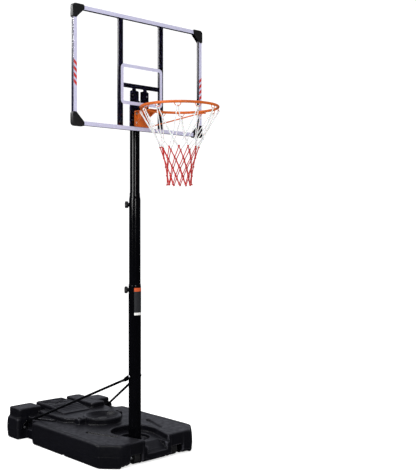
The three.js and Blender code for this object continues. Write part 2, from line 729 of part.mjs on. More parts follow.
// Plates that hang behind the cross bar and carry the rim through the clear panel.
function makeMountPlates() {
  const { front, thick } = PLATE;
  [-1, 1].forEach((side) => {
    const bolts = RIM_BOLTS.filter(([x]) => x * side > 0);
    const shape = outline([
      [side * 7, 2087, 4], [side * 75, 2087, 4], [side * 75, 2314, 6], [side * 60, 2318, 4],
      [side * 58, 2353, 2], [side * 32, 2353, 2], [side * 30, 2318, 4], [side * 7, 2314, 6],
    ]);
    const faceHoles = FACE_BOLTS.map((z) => [side * FACE_BOLT_X, z]);
    roundHoles(shape, [...bolts, ...faceHoles], RIM_BOLT_RADIUS + 0.5);
    const sleeves = bolts.map(([x, z]) => rod([x, FRAME_FRONT, z], [x, front + 1, z], 9, 16));
    const nuts = bolts.map(([x, z]) => rod([x, front + thick - 1, z], [x, front + thick + 6, z], NUT_RADIUS, 6));
    const bores = bolts.map(([x, z]) =>
      rod([x, FRAME_FRONT - 1, z], [x, front + thick + 8, z], RIM_BOLT_RADIUS + 0.5, 14));
    const name = `mount_plate_${side < 0 ? 'left' : 'right'}`;
    part(hoop, name, BLACK_PAINT,
      cut(join(upright(shape, front, front + thick), ...sleeves, ...nuts), ...bores));

    FACE_BOLTS.forEach((z, i) => {
      const x = side * FACE_BOLT_X;
      const bolt = join(
        rod([x, front - FIT - 5, z], [x, front - FIT, z], 7.5, 6),
        rod([x, front - FIT - 1, z], [x, FLANGE.front + FLANGE.thick + 6, z], 3.5, 12),
      );
      const height = i === 0 ? 'lower' : 'upper';
      part(hoop, `bracket_bolt_${side < 0 ? 'left' : 'right'}_${height}`, ZINC, bolt);
    });
  });
}

// A strap bent round the back of the upper tube, with a flange on each side in front.
function makePoleBracket() {
  const inner = UPPER.radius + 0.5;
  const outer = inner + 3;
  const low = 2087;
  const strap = new THREE.Shape();
  strap.moveTo(-outer, FLANGE.front);
  strap.lineTo(-outer, 0);
  strap.absarc(0, 0, outer, Math.PI, 0, true);
  strap.lineTo(outer, FLANGE.front);
  strap.lineTo(inner, FLANGE.front);
  strap.lineTo(inner, 0);
  strap.absarc(0, 0, inner, 0, Math.PI, false);
  strap.lineTo(-inner, FLANGE.front);
  strap.closePath();
  const flanges = [-1, 1].map((side) => {
    const shape = rectangle(side * inner, low, side * 75, 2310, 2);
    roundHoles(shape, FACE_BOLTS.map((z) => [side * FACE_BOLT_X, z]), 4);
    roundHoles(shape, RIM_BOLTS.filter(([x]) => x * side > 0), NUT_RADIUS + 1.5);
    return upright(shape, FLANGE.front, FLANGE.front + FLANGE.thick);
  });
  const holes = CLAMP_HEIGHTS.map((z) => rod([-50, 0, z], [50, 0, z], 4.5, 12));
  const body = join(raised(strap, low, 2246, 0, 8), ...flanges);
  part(hoop, 'pole_bracket', BLACK_PAINT, cut(body, ...holes));

  CLAMP_HEIGHTS.forEach((z, i) => {
    const name = i === 0 ? 'lower' : 'upper';
    const face = outer + FIT;
    const bolt = join(
      rod([face, 0, z], [face + 6, 0, z], 8, 6),
      rod([-face - 9, 0, z], [face + 1, 0, z], 4, 12),
    );
    part(hoop, `clamp_bolt_${name}`, ZINC, bolt);
    const nut = cut(
      rod([-face - 7, 0, z], [-face, 0, z], 8, 6),
      rod([-face - 8, 0, z], [-face + 1, 0, z], 4.3, 12),
    );
    part(hoop, `clamp_nut_${name}`, ZINC, nut);
  });
}

// ---------------------------------------------------------------- rim and net

const RIM_BACK = -BOARD_FRONT - FIT;
const TONGUE_BOTTOM = RIM_HEIGHT + ROD_RADIUS + FIT;
const TONGUE_THICK = 3.5;
const TONGUE_HALF = 48;
const RIM_PLATE = { half: 62, bottom: 2085.5, top: TONGUE_BOTTOM + TONGUE_THICK, thick: 4 };
const RIM_FRONT = RIM_BACK - RIM_PLATE.thick;
const GUSSET = { x: 36, thick: 4, length: 104, height: 50 };

// A plate on the panel with a tongue that lies over the back of the ring and two gussets below it.
function makeRimPlate() {
  const { half, bottom, top } = RIM_PLATE;
  const face = roundHoles(rectangle(-half, bottom, half, top, 6), RIM_BOLTS, RIM_BOLT_RADIUS + 0.5);
  const tongue = outline([
    [-half + 6, RIM_FRONT + 1],
    [half - 6, RIM_FRONT + 1],
    [TONGUE_HALF, -130],
    [TONGUE_HALF, -206, 6],
    [-TONGUE_HALF, -206, 6],
    [-TONGUE_HALF, -130],
  ]);
  const gussets = [-1, 1].map((side) => {
    const { x, thick, length, height } = GUSSET;
    const shape = outline([[0, 0], [length, 0], [length - 12, -6], [14, 6 - height], [0, -height]]);
    const geometry = new THREE.ExtrudeGeometry(shape, { depth: thick, bevelEnabled: false });
    geometry.applyMatrix4(new THREE.Matrix4().makeBasis(
      new THREE.Vector3(0, -1, 0),
      new THREE.Vector3(0, 0, 1),
      new THREE.Vector3(-1, 0, 0),
    ));
    geometry.translate(side * x + thick / 2, RIM_FRONT + 1, TONGUE_BOTTOM + 1);
    return solid(geometry);
  });
  const body = join(
    upright(face, RIM_FRONT, RIM_BACK),
    raised(tongue, TONGUE_BOTTOM, TONGUE_BOTTOM + TONGUE_THICK),
    ...gussets,
  );
  part(hoop, 'rim_plate', ORANGE_PAINT, body);

  RIM_BOLTS.forEach(([x, z], i) => {
    const front = RIM_FRONT - FIT;
    const bolt = join(
      rod([x, front - 6, z], [x, front, z], 7.5, 6),
      rod([x, front - 1, z], [x, PLATE.front + PLATE.thick + 9, z], RIM_BOLT_RADIUS, 12),
    );
    part(hoop, `rim_bolt_${i + 1}`, ZINC, bolt);
  });
}

// The ring with a wide bent wire hook welded under it at every twelfth of its turn.
function makeRing() {
  const torus = new THREE.TorusGeometry(RING_RADIUS, ROD_RADIUS, 8, 56);
  const pieces = [solid(torus)];
  for (let i = 0; i < HOOK_COUNT; i += 1) {
    const middle = ((i + 0.5) * 2 * Math.PI) / HOOK_COUNT;
    const at = (share, drop) => {
      const turn = middle + share * HOOK.sweep;
      const z = -ROD_RADIUS - drop;
      return new THREE.Vector3(RING_RADIUS * Math.cos(turn), RING_RADIUS * Math.sin(turn), z);
    };
    const wire = new THREE.CatmullRomCurve3([
      at(-1, -3), at(-1, 5), at(-0.55, HOOK.drop - 2.5), at(0, HOOK.drop),
      at(0.55, HOOK.drop - 2.5), at(1, 5), at(1, -3),
    ]);
    pieces.push(bent(wire, HOOK.wire, 7, 4));
  }
  const body = join(...pieces).translate([0, -RING_REACH, RIM_HEIGHT]);
  part(hoop, 'rim_ring', ORANGE_PAINT, body);
}

// Round braces from the plate's lower corners to the ring's sides.
function makeBraces() {
  const radius = 4;
  const spread = (87 * Math.PI) / 180;
  const under = RIM_HEIGHT - ROD_RADIUS - FIT - radius - 0.6;
  [-1, 1].forEach((side) => {
    const onRing = (extra) => new THREE.Vector3(
      side * (RING_RADIUS + extra) * Math.sin(spread),
      -RING_REACH + (RING_RADIUS + extra) * Math.cos(spread),
      under,
    );
    const start = new THREE.Vector3(side * 56, RIM_FRONT - FIT - 2.8, RIM_PLATE.bottom + radius + 1);
    const end = onRing(0);
    const knee = start.clone().lerp(end, 0.86).setZ(under - 3);
    const curve = new THREE.CatmullRomCurve3([start, start.clone().lerp(knee, 0.5), knee, end]);
    part(hoop, `rim_brace_${side < 0 ? 'left' : 'right'}`, ORANGE_PAINT, bent(curve, radius, 14, 10));
  });
}

// The net's outer shape: an open shell that narrows below the ring.
function makeNet() {
  const top = RIM_HEIGHT - NET_DROP;
  const outer = [[203, 0], [162, 96], [138, 155], [112, 230], [89, 318], [76, 395], [77, NET_LENGTH]];
  const thick = 5;
  const down = outer.map(([r, fall]) => [r, top - fall]);
  const up = outer.map(([r, fall]) => [r - thick, top - fall]).reverse();
  part(hoop, 'net', NET_CORD, turned([...down, ...up, down[0]], 28).translate([0, -RING_REACH, 0]));
}

// ---------------------------------------------------------------- assembly

makeTank();
makeWheels();
makePole();
makeLabel();
makeStrut(-1);
makeStrut(1);
makeStrutBolt();
makeFrame();
makePanel();
makeGuards();
makeMountPlates();
makePoleBracket();
makeRimPlate();
makeRing();
makeBraces();
makeNet();

const rimFront = RING_REACH + RING_RADIUS + ROD_RADIUS;
hoop.position.y = (rimFront - TANK.back) / 2;

export default hoop;
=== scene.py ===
import json
import math

import bmesh
import bpy
import numpy as np
from mathutils import Matrix, Vector, noise


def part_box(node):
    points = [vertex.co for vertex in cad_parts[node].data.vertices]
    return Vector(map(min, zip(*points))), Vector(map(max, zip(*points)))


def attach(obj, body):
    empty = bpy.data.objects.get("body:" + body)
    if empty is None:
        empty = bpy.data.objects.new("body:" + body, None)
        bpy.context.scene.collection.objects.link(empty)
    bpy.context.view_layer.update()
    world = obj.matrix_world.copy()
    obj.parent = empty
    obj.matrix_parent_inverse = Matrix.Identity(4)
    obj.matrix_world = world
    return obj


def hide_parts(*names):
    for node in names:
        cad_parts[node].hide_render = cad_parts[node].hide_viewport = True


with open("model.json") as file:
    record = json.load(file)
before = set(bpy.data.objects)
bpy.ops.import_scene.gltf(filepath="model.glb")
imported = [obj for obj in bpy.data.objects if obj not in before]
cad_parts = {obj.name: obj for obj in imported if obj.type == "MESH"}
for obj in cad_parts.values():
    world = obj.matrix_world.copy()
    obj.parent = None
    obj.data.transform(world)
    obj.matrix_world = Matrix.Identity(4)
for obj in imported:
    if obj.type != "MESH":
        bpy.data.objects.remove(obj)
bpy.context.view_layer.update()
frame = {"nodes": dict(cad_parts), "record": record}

# Metres, in the row frame: +Z up, the rim points to -Y, the origin on the ground.


def middle(node):
    low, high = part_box(node)
    return (Vector(low) + Vector(high)) / 2


def new_object(name, data):
    made = bpy.data.objects.new(name, data)
    bpy.context.scene.collection.objects.link(made)
    return made


POLE_Y = middle("pole_lower_tube").y
RING_CENTRE = Vector((0.0, POLE_Y - 0.426, 2.173))
RING_RADIUS = 0.2335
ROD_RADIUS = 0.008
HOOK_COUNT = 12
HOOK_SWEEP = math.radians(4.4)  # half the turn a hook spans
HOOK_DROP = 0.0175
HOOK_WIRE = 0.002
BRACE_RADIUS = 0.004

TUBE_WALL = 0.002
LOWER_RADIUS = 0.040
MIDDLE_RADIUS = 0.0372
UPPER_RADIUS = 0.0318

STRUT_RADIUS = 0.008
STRUT_TOP = Vector((0.0424, POLE_Y, 0.495))  # the eye at the pole, on the right-hand side
STRUT_FOOT = Vector((0.354, POLE_Y + 0.7626, 0.082))  # the eye at the tank
STRUT_ROD_TOP_X = 0.0464
STRUT_ROD_RUN = 0.7586  # how far behind the pole's axis the rod ends
STRUT_SLOPE_RUN = 0.765  # the run that sets the slope of the flat at the pole
STRUT_TOP_FLAT = 0.060  # from the eye to the rod
STRUT_FOOT_FLAT = 0.040

KNOB_ANGLE = math.radians(135)
KNOB_AXIS = Vector((math.cos(KNOB_ANGLE), math.sin(KNOB_ANGLE), 0.0))

FULL_TURN = 2 * math.pi

# ---------------------------------------------------------------- camera, floor and light

CAMERA_PLACE = Vector((-3.234, -4.0958, 1.458))
CAMERA_FORWARD = Vector((0.6655, 0.7464, 0.0))
CAMERA_LENS = 60.31
CAMERA_SHIFT = (0.080, -0.0244)

WHITE = (1.0, 1.0, 1.0)
SEEN_WHITE = 1.12  # the surround, as the camera sees it
SKY_LIGHT = 0.55  # the surround, as it lights matt surfaces
FLOOR_LIFT = 0.60
FLOOR_HALF = 40.0
FLOOR_MIRRORED = (0.05, 0.05, 0.056)
GLOSS_TINT = (0.86, 0.88, 1.0)
ROOM_GLOSS = 0.012
BACKDROP_GLOSS = 0.42
BACKDROP_WAY = (0.65, 0.73, 0.21)
BACKDROP_FADE = (0.35, 0.95)  # how nearly a reflection points that way, from dark to lit


def make_camera():
    data = bpy.data.cameras.new("camera")
    data.lens = CAMERA_LENS
    data.shift_x, data.shift_y = CAMERA_SHIFT
    camera = new_object("camera", data)
    camera.location = CAMERA_PLACE
    camera.rotation_euler = CAMERA_FORWARD.to_track_quat("-Z", "Y").to_euler()
    bpy.context.scene.camera = camera


def make_floor():
    """White paper that stays bright to the camera and is dimmer in the object's reflections."""
    mesh = bpy.data.meshes.new("floor")
    corners = [(-1, -1), (1, -1), (1, 1), (-1, 1)]
    mesh.from_pydata([(FLOOR_HALF * x, FLOOR_HALF * y, 0) for x, y in corners], [], [(0, 1, 2, 3)])
    floor = new_object("floor", mesh)
    graph = Graph("floor_paper")
    path = graph.add("LightPath").outputs
    tint = graph.noise(1.5, detail=2)
    paper = graph.mix(tint, (0.90, 0.90, 0.90), (0.93, 0.93, 0.93))
    mirrored = graph.calc("MINIMUM", path["Glossy Depth"], 1.0)
    graph.set("Base Color", graph.mix(mirrored, paper, FLOOR_MIRRORED))
    graph.set("Roughness", 0.9)
    graph.set("Specular IOR Level", 0.0)
    graph.set("Emission Color", WHITE)
    seen = graph.calc("MAXIMUM", path["Is Camera Ray"], path["Is Transmission Ray"])
    unmirrored = graph.calc("MULTIPLY", seen, graph.calc("SUBTRACT", 1.0, mirrored))
    graph.set("Emission Strength", graph.calc("MULTIPLY", unmirrored, FLOOR_LIFT))
    mesh.materials.append(graph.material)


def make_light(name, place, target, size, power, tall=None):
    data = bpy.data.lights.new(name, "AREA")
    data.shape = "RECTANGLE"
    data.size = size
    data.size_y = tall or size
    data.energy = power
    light = new_object(name, data)
    light.location = place
    direction = Vector(target) - Vector(place)
    light.rotation_euler = direction.to_track_quat("-Z", "Y").to_euler()
    light.visible_transmission = False


def make_world():
    """A white surround, mirrored as a lit backdrop behind the hoop and a dark room elsewhere."""
    world = bpy.data.worlds.new("studio")
    world.use_nodes = True
    bpy.context.scene.world = world
    tree = world.node_tree
    tree.nodes.clear()
    path = add_node(tree, "LightPath").outputs
    way = add_node(tree, "TexCoord").outputs["Generated"]
    towards = add_node(tree, "VectorMath", {0: way, 1: BACKDROP_WAY}, "DOT_PRODUCT")
    fade = add_node(tree, "MapRange", {
        "Value": towards.outputs["Value"], "From Min": BACKDROP_FADE[0],
        "From Max": BACKDROP_FADE[1], "To Min": ROOM_GLOSS, "To Max": BACKDROP_GLOSS})
    fade.interpolation_type = "SMOOTHSTEP"

    def background(colour, strength):
        return add_node(tree, "Background", {"Color": colour, "Strength": strength}).outputs[0]

    def choose(share, first, second):
        return add_node(tree, "MixShader", {0: share, 1: first, 2: second}).outputs[0]

    seen = background(WHITE, SEEN_WHITE)
    soft = background(WHITE, SKY_LIGHT)
    gloss = background(GLOSS_TINT, fade.outputs[0])
    lit = choose(path["Is Diffuse Ray"], seen, soft)
    mirrored = add_node(tree, "Math", {0: path["Glossy Depth"], 1: 1.0}, "MINIMUM").outputs[0]
    add_node(tree, "OutputWorld", {"Surface": choose(mirrored, lit, gloss)})


# ---------------------------------------------------------------- materials


def fill(node, inputs):
    """Gives a node's inputs, by name or by number, their links or values."""
    for name, value in inputs.items():
        socket = node.inputs[name]
        if isinstance(value, bpy.types.NodeSocket):
            socket.id_data.links.new(value, socket)
        elif isinstance(value, tuple) and socket.type == "RGBA":
            socket.default_value = (*value[:3], 1.0)
        else:
            socket.default_value = value


def add_node(tree, kind, inputs=None, operation=None):
    node = tree.nodes.new("ShaderNode" + kind)
    if operation:
        node.operation = operation
    fill(node, inputs or {})
    return node


class Graph:
    """A material and its slot. Its nodes are laid on the object's own coordinates in metres."""

    def __init__(self, name, slot=None):
        self.slot = slot
        self.material = bpy.data.materials.new(name)
        self.material.use_nodes = True
        self.tree = self.material.node_tree
        self.shader = self.tree.nodes["Principled BSDF"]
        self.where = self.add("TexCoord").outputs["Object"]

    def add(self, kind, inputs=None, operation=None):
        return add_node(self.tree, kind, inputs, operation)

    def calc(self, operation, a, b=0.0):
        return self.add("Math", {0: a, 1: b}, operation).outputs[0]

    def set(self, name, value):
        fill(self.shader, {name: value})

    def stretch(self, scale):
        return self.add("Mapping", {"Scale": scale, "Vector": self.where}).outputs[0]

    def noise(self, scale, detail=3, where=None):
        inputs = {"Scale": scale, "Detail": detail, "Vector": where or self.where}
        return self.add("TexNoise", inputs).outputs["Fac"]

    def cells(self, scale):
        return self.add("TexVoronoi", {"Scale": scale, "Vector": self.where}).outputs["Distance"]

    def remap(self, source, low, high, start=0.3, end=0.7):
        return self.add("MapRange", {
            "Value": source, "From Min": start, "From Max": end, "To Min": low, "To Max": high,
        }).outputs[0]

    def mix(self, share, a, b):
        node = self.add("Mix")
        node.data_type = "RGBA"
        fill(node, {"Factor": share, 6: a, 7: b})
        return node.outputs[2]

    def axis(self, name, source=None):
        return self.add("SeparateXYZ", {0: source or self.where}).outputs[name]

    def surface(self, name):
        return self.add("NewGeometry").outputs[name]

    def bump(self, height, distance, under=None):
        inputs = {"Distance": distance, "Height": height}
        if under is not None:
            inputs["Normal"] = under
        node = self.add("Bump", inputs)
        self.set("Normal", node.outputs[0])
        return node.outputs[0]


def scaled(colour, factor):
    return tuple(min(1.0, c * factor) for c in colour)


def paint(name, slot, colour, roughness, specular, peel, coat=0.0):
    """Sprayed paint: orange peel, soft blotches and a few pale, dull upright scuffs."""
    graph = Graph(name, slot)
    blotch = graph.remap(graph.noise(9.0), 0.0, 1.0)
    body = graph.mix(blotch, scaled(colour, 0.85), scaled(colour, 1.2))
    streak = graph.noise(1.0, 4, graph.stretch((240.0, 240.0, 14.0)))
    scuff = graph.remap(streak, 0.0, 0.3, 0.70, 0.80)
    graph.set("Base Color", graph.mix(scuff, body, scaled(colour, 1.8)))
    dull = graph.remap(graph.noise(5.0), roughness - 0.015, roughness + 0.025)
    graph.set("Roughness", graph.calc("ADD", dull, graph.calc("MULTIPLY", scuff, 0.06)))
    graph.set("Specular IOR Level", specular)
    graph.set("Coat Weight", coat)
    graph.set("Coat Roughness", 0.12)
    graph.bump(graph.noise(520.0, 2), peel)
    return graph


# The lighter grey of the tops: dust and a painted sheen of the light on them.
DUST_AND_SHEEN = (0.16, 0.155, 0.17)


def moulded(name, slot, colour, roughness, grain, specular=0.45, dust_and_sheen=0.0, seam=None,
            ridge_highlight=None):
    """Moulded plastic: a pebble grain, dust and a painted sheen on upward faces, a seam line and
    painted highlights on ridges.
    """
    graph = Graph(name, slot)
    blotch = graph.remap(graph.noise(5.0), 0.0, 1.0)
    body = graph.mix(blotch, scaled(colour, 0.8), scaled(colour, 1.25))
    if dust_and_sheen:
        # Upward faces turn lighter: partly dust, partly a painted sheen of the light falling on the
        # tops.
        patches = graph.remap(graph.noise(14.0, 6), 0.15, 1.0, 0.35, 0.7)
        upward = graph.axis("Z", graph.surface("Normal"))
        facing = graph.remap(upward, 0.0, dust_and_sheen, 0.55, 1.0)
        body = graph.mix(graph.calc("MULTIPLY", patches, facing), body, DUST_AND_SHEEN)
    if ridge_highlight:
        # Sharp ridges turn lighter: a painted highlight along the edges.
        ridge = graph.remap(graph.surface("Pointiness"), 0.0, 1.0, 0.515, 0.575)
        body = graph.mix(ridge, body, ridge_highlight)
    graph.set("Base Color", body)
    graph.set("Roughness", graph.remap(graph.noise(40.0, 5), roughness - 0.08, roughness + 0.12))
    graph.set("Specular IOR Level", specular)
    fine = graph.bump(graph.cells(760.0), grain)
    if seam is not None:
        from_seam = graph.calc("ABSOLUTE", graph.calc("SUBTRACT", graph.axis("Z"), seam))
        graph.bump(graph.remap(from_seam, 1.0, 0.0, 0.0006, 0.0018), 0.0008, fine)
    return graph


def plated(name, slot, colour, roughness):
    """Zinc plate: a spangle of slightly different greys with a fine grain in its bump."""
    graph = Graph(name, slot)
    spangle = graph.remap(graph.cells(260.0), 0.0, 1.0, 0.1, 0.7)
    graph.set("Base Color", graph.mix(spangle, scaled(colour, 0.8), colour))
    graph.set("Metallic", 1.0)
    graph.set("Roughness", graph.remap(graph.noise(320.0, 4), roughness - 0.08, roughness + 0.14))
    graph.bump(graph.noise(900.0, 3), 0.00004)
    return graph


def printed(name, slot, colour, roughness):
    """Screen print or vinyl film: an even tone with a faint mottle and fine scratches."""
    graph = Graph(name, slot)
    mottle = graph.remap(graph.noise(120.0, 5), 0.0, 1.0)
    scratch = graph.noise(1.0, 3, graph.stretch((900.0, 900.0, 30.0)))
    worn = graph.remap(scratch, 0.0, 0.3, 0.68, 0.74)
    ink = graph.mix(mottle, scaled(colour, 0.96), scaled(colour, 1.04))
    graph.set("Base Color", graph.mix(worn, ink, scaled(colour, 0.75)))
    graph.set("Roughness", graph.remap(graph.noise(60.0), roughness - 0.05, roughness + 0.1))
    graph.set("Specular IOR Level", 0.4)
    graph.bump(graph.noise(1400.0, 2), 0.00002)
    return graph


def clear_sheet(name, slot):
    """Clear polycarbonate: fine hairlines and a faint waviness in its gloss."""
    graph = Graph(name, slot)
    haze = graph.remap(graph.noise(3.0, 5), 0.0, 1.0)
    graph.set("Base Color", graph.mix(haze, WHITE, (0.985, 0.99, 1.0)))
    scratch = graph.noise(1.0, 3, graph.stretch((60.0, 400.0, 700.0)))
    lines = graph.remap(scratch, 0.0, 0.12, 0.66, 0.74)
    graph.set("Roughness", graph.calc("ADD", lines, 0.015))
    graph.set("Transmission Weight", 1.0)
    graph.set("IOR", 1.35)
    graph.bump(graph.noise(2.2, 2), 0.0004)
    return graph


def braided(name, slot, colour):
    """Braided cord: crossing strands in the bump and painted shade in the hollows."""
    graph = Graph(name, slot)
    weave = graph.cells(620.0)
    shade = graph.remap(weave, 1.0, 0.0, 0.0, 0.65)
    # The hollows between the strands are darker: painted shade.
    graph.set("Base Color", graph.mix(shade, scaled(colour, 0.78), colour))
    graph.set("Roughness", graph.remap(graph.noise(80.0), 0.75, 0.95))
    graph.set("Sheen Weight", 0.3)
    graph.set("Subsurface Weight", 0.08)
    graph.bump(shade, 0.0006)
    return graph


BLACK_PAINT = paint("black_paint_look", "black_paint", (0.0012, 0.0012, 0.0018), 0.14,
                    specular=0.25, peel=0.000002)
FRAME_PAINT = paint("frame_paint_look", "black_paint", (0.006, 0.005, 0.020), 0.30,
                    specular=0.30, peel=0.000004)
TANK_PLASTIC = moulded("tank_plastic_look", "tank_plastic", (0.003, 0.003, 0.005), 0.36, 0.00003,
                       specular=0.26, dust_and_sheen=0.04, seam=0.071, ridge_highlight=(0.055, 0.054, 0.066))
BLACK_PLASTIC = moulded("black_plastic_look", "black_plastic", (0.011, 0.011, 0.012), 0.42, 0.0001)
ORANGE_PAINT = paint("orange_paint_look", "orange_paint", (0.60, 0.120, 0.014), 0.32,
                     specular=0.35, peel=0.00006, coat=0.1)
ZINC = plated("zinc_look", "zinc", (0.86, 0.87, 0.90), 0.34)
CLEAR = clear_sheet("clear_panel_look", "clear_panel")
SILVER = printed("silver_print_look", "silver_print", (0.60, 0.59, 0.78), 0.45)
RED_FILM = printed("red_film_look", "silver_print", (0.60, 0.030, 0.028), 0.35)
LABEL_GREY = printed("label_grey_look", "label_film", (0.020, 0.021, 0.024), 0.4)
LABEL_ORANGE = printed("label_orange_look", "label_film", (0.60, 0.09, 0.02), 0.4)
LABEL_WHITE = printed("label_white_look", "label_film", (0.82, 0.82, 0.80), 0.4)
WHITE_CORD = braided("white_cord_look", "net_cord", (0.98, 0.98, 0.98))
RED_CORD = braided("red_cord_look", "net_cord", (0.62, 0.013, 0.012))

SLOT_LOOKS = {look.slot: look for look in (
    BLACK_PAINT, TANK_PLASTIC, BLACK_PLASTIC, ORANGE_PAINT, ZINC, CLEAR, SILVER, LABEL_GREY,
    WHITE_CORD)}

# ---------------------------------------------------------------- mesh helpers


class Shape:
    """Points and faces gathered from several closed forms."""

    def __init__(self):
        self.points = []
        self.faces = []

    def add(self, form, place=None):
        points, faces = form
        start = len(self.points)
        place = place or Matrix()
        self.points += [place @ Vector(p) for p in points]
        self.faces += [[start + i for i in face] for face in faces]
        return self


def dress(name, mesh, look, body, nodes=(), crease=32):
    """Makes a mesh into a smooth-shaded piece that rides on a body."""
    bm = bmesh.new()
    bm.from_mesh(mesh)
    bmesh.ops.recalc_face_normals(bm, faces=bm.faces)
    limit = math.radians(crease)
    for face in bm.faces:
        face.smooth = True
    for edge in bm.edges:
        edge.smooth = len(edge.link_faces) == 2 and edge.calc_face_angle(0.0) < limit
    bm.to_mesh(mesh)
    bm.free()
    piece = new_object(name, mesh)
    mesh.materials.clear()
    mesh.materials.append(look.material)
    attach(piece, body)
    if nodes:
        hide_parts(*nodes)


def make_piece(name, shape, look, body, nodes=(), crease=32):
    mesh = bpy.data.meshes.new(name)
    mesh.from_pydata([tuple(p) for p in shape.points], [], shape.faces)
    dress(name, mesh, look, body, nodes, crease)


def loft(rings, wrap=False):
    """Skins rings of equal length. The ends are capped unless the last ring meets the first."""
    count = len(rings[0])
    points = [p for ring in rings for p in ring]
    faces = []
    last = len(rings) if wrap else len(rings) - 1
    for i in range(last):
        near = i * count
        far = ((i + 1) % len(rings)) * count
        for k in range(count):
            after = (k + 1) % count
            faces.append((near + k, near + after, far + after, far + k))
    if not wrap:
        faces.append(tuple(reversed(range(count))))
        faces.append(tuple(range((len(rings) - 1) * count, len(rings) * count)))
    return points, faces


def polar(radius, z, segments, wave=None):
    ring = []
    for i in range(segments):
        a = FULL_TURN * i / segments
        r = radius * (wave(a) if wave else 1.0)
        ring.append((r * math.cos(a), r * math.sin(a), z))
    return ring


def lathe(profile, segments, hollow=False):
    """A solid of revolution through (radius, z). A hollow one's profile closes on itself."""
    return loft([polar(r, z, segments) for r, z in profile], wrap=hollow)


def frames_along(points, closed=False):
    """Two steady cross directions at each point of a path."""
    count = len(points)
    tangents = []
    for i in range(count):
        before = points[i - 1] if closed or i > 0 else points[i]
        after = points[(i + 1) % count] if closed or i < count - 1 else points[i]
        tangents.append((after - before).normalized())
    side = tangents[0].orthogonal().normalized()
    result = []
    for i, tangent in enumerate(tangents):
        if i > 0:
            side = tangents[i - 1].rotation_difference(tangent) @ side
        side = (side - tangent * side.dot(tangent)).normalized()
        result.append((side, tangent.cross(side)))
    return result


def sweep(points, radius, sides=10, closed=False):
    """A round cord or rod along a path; radius is one number or one for each point."""
    rings = []
    for i, (u, v) in enumerate(frames_along(points, closed)):
        r = radius[i] if isinstance(radius, (list, tuple)) else radius
        ring = []
        for k in range(sides):
            a = FULL_TURN * k / sides
            ring.append(points[i] + u * (r * math.cos(a)) + v * (r * math.sin(a)))
        rings.append(ring)
    return loft(rings, wrap=closed)


def smooth_path(knots, steps):
    """A Catmull-Rom curve through a few points."""
    ends = [knots[0] * 2 - knots[1], *knots, knots[-1] * 2 - knots[-2]]
    path = []
    for i in range(1, len(ends) - 2):
        a, b, c, d = ends[i - 1:i + 3]
        for k in range(steps):
            t = k / steps
            path.append(0.5 * (2 * b + (c - a) * t + (2 * a - 5 * b + 4 * c - d) * t * t
                               + (3 * b - a - 3 * c + d) * t ** 3))
    path.append(knots[-1])
    return path


def pointing(place, direction):
    """Stands a form's +Z along a direction at a place."""
    turn = Vector((0, 0, 1)).rotation_difference(Vector(direction))
    return Matrix.Translation(place) @ turn.to_matrix().to_4x4()


def rounded_box(low, high, radius, segments=3):
    bm = bmesh.new()
    bmesh.ops.create_cube(bm, size=1.0)
    size = [b - a for a, b in zip(low, high)]
    centre = [(a + b) / 2 for a, b in zip(low, high)]
    bmesh.ops.scale(bm, vec=size, verts=bm.verts)
    bmesh.ops.translate(bm, vec=centre, verts=bm.verts)
    bmesh.ops.bevel(bm, geom=bm.edges[:], offset=radius, segments=segments, profile=0.5,
                    affect="EDGES")
    bm.verts.ensure_lookup_table()
    form = [v.co.copy() for v in bm.verts], [[v.index for v in f.verts] for f in bm.faces]
    bm.free()
    return form


def softened(node, width, look, body, segments=2):
    """A copy of a CAD part with its sharp edges rounded over."""
    mesh = frame["nodes"][node].data.copy()
    bm = bmesh.new()
    bm.from_mesh(mesh)
    bmesh.ops.remove_doubles(bm, verts=bm.verts, dist=1e-6)
    bmesh.ops.dissolve_limit(bm, angle_limit=math.radians(0.5), verts=bm.verts, edges=bm.edges)
    limit = math.radians(28)
    sharp = [e for e in bm.edges if len(e.link_faces) == 2 and e.calc_face_angle(0.0) > limit]
    bmesh.ops.bevel(bm, geom=sharp, offset=width, segments=segments, profile=0.5, affect="EDGES",
                    clamp_overlap=True)
    bm.to_mesh(mesh)
    bm.free()
    dress(f"{node}_finished", mesh, look, body, [node])


# ---------------------------------------------------------------- fasteners

BOLT_ACROSS = 0.0130
BIG_BOLT_ACROSS = 0.0138
BOLT_HEAD = 0.006  # its height
BOLT_SHANK = 0.004  # its radius
SHANK_SINK = -0.0004  # where a shank starts, just inside its head


def hex_form(across, height):
    """A hexagon head or nut with its corners turned down at the top."""
    sixth = math.pi / 3

    def edge(a):
        return 1 / math.cos((a + sixth / 2) % sixth - sixth / 2)

    levels = [(0.0, 1.10), (0.08, 1.16), (0.78, 1.16), (0.92, 1.08), (1.0, 0.96)]
    return loft([polar(across / 2, height * share, 48, lambda a, most=most: min(edge(a), most))
                 for share, most in levels])


def washer_form(bore, outer, thick):
    edge = thick * 0.3
    return lathe([(bore, 0), (outer - edge, 0), (outer, edge), (outer, thick - edge),
                  (outer - edge, thick), (bore, thick)], 40, hollow=True)


def threaded(radius, end):
    """A shank whose far end carries a thread."""
    threads = 8
    pitch = 0.00125
    profile = [(radius, SHANK_SINK)]
    z = max(SHANK_SINK + 0.001, end - threads * pitch)
    while z < end - pitch * 1.5:
        profile += [(radius, z), (radius * 0.86, z + pitch / 2)]
        z += pitch
    profile += [(radius, z), (radius * 0.8, end)]
    return lathe(profile, 20)


def fasten(node, body, place, inward, across, height, shank, reach, washer=None):
    """A hexagon bolt: its head stands on place, and its shank runs inward by reach."""
    shape = Shape()
    outward = -Vector(inward)
    base = 0.0
    if washer:
        base = 0.0012
        shape.add(washer_form(shank * 1.05, washer, base), pointing(place, outward))
    shape.add(hex_form(across, height - base), pointing(place + outward * base, outward))
    shape.add(threaded(shank, reach), pointing(place, inward))
    make_piece(f"{node}_hex", shape, ZINC, body, [node])


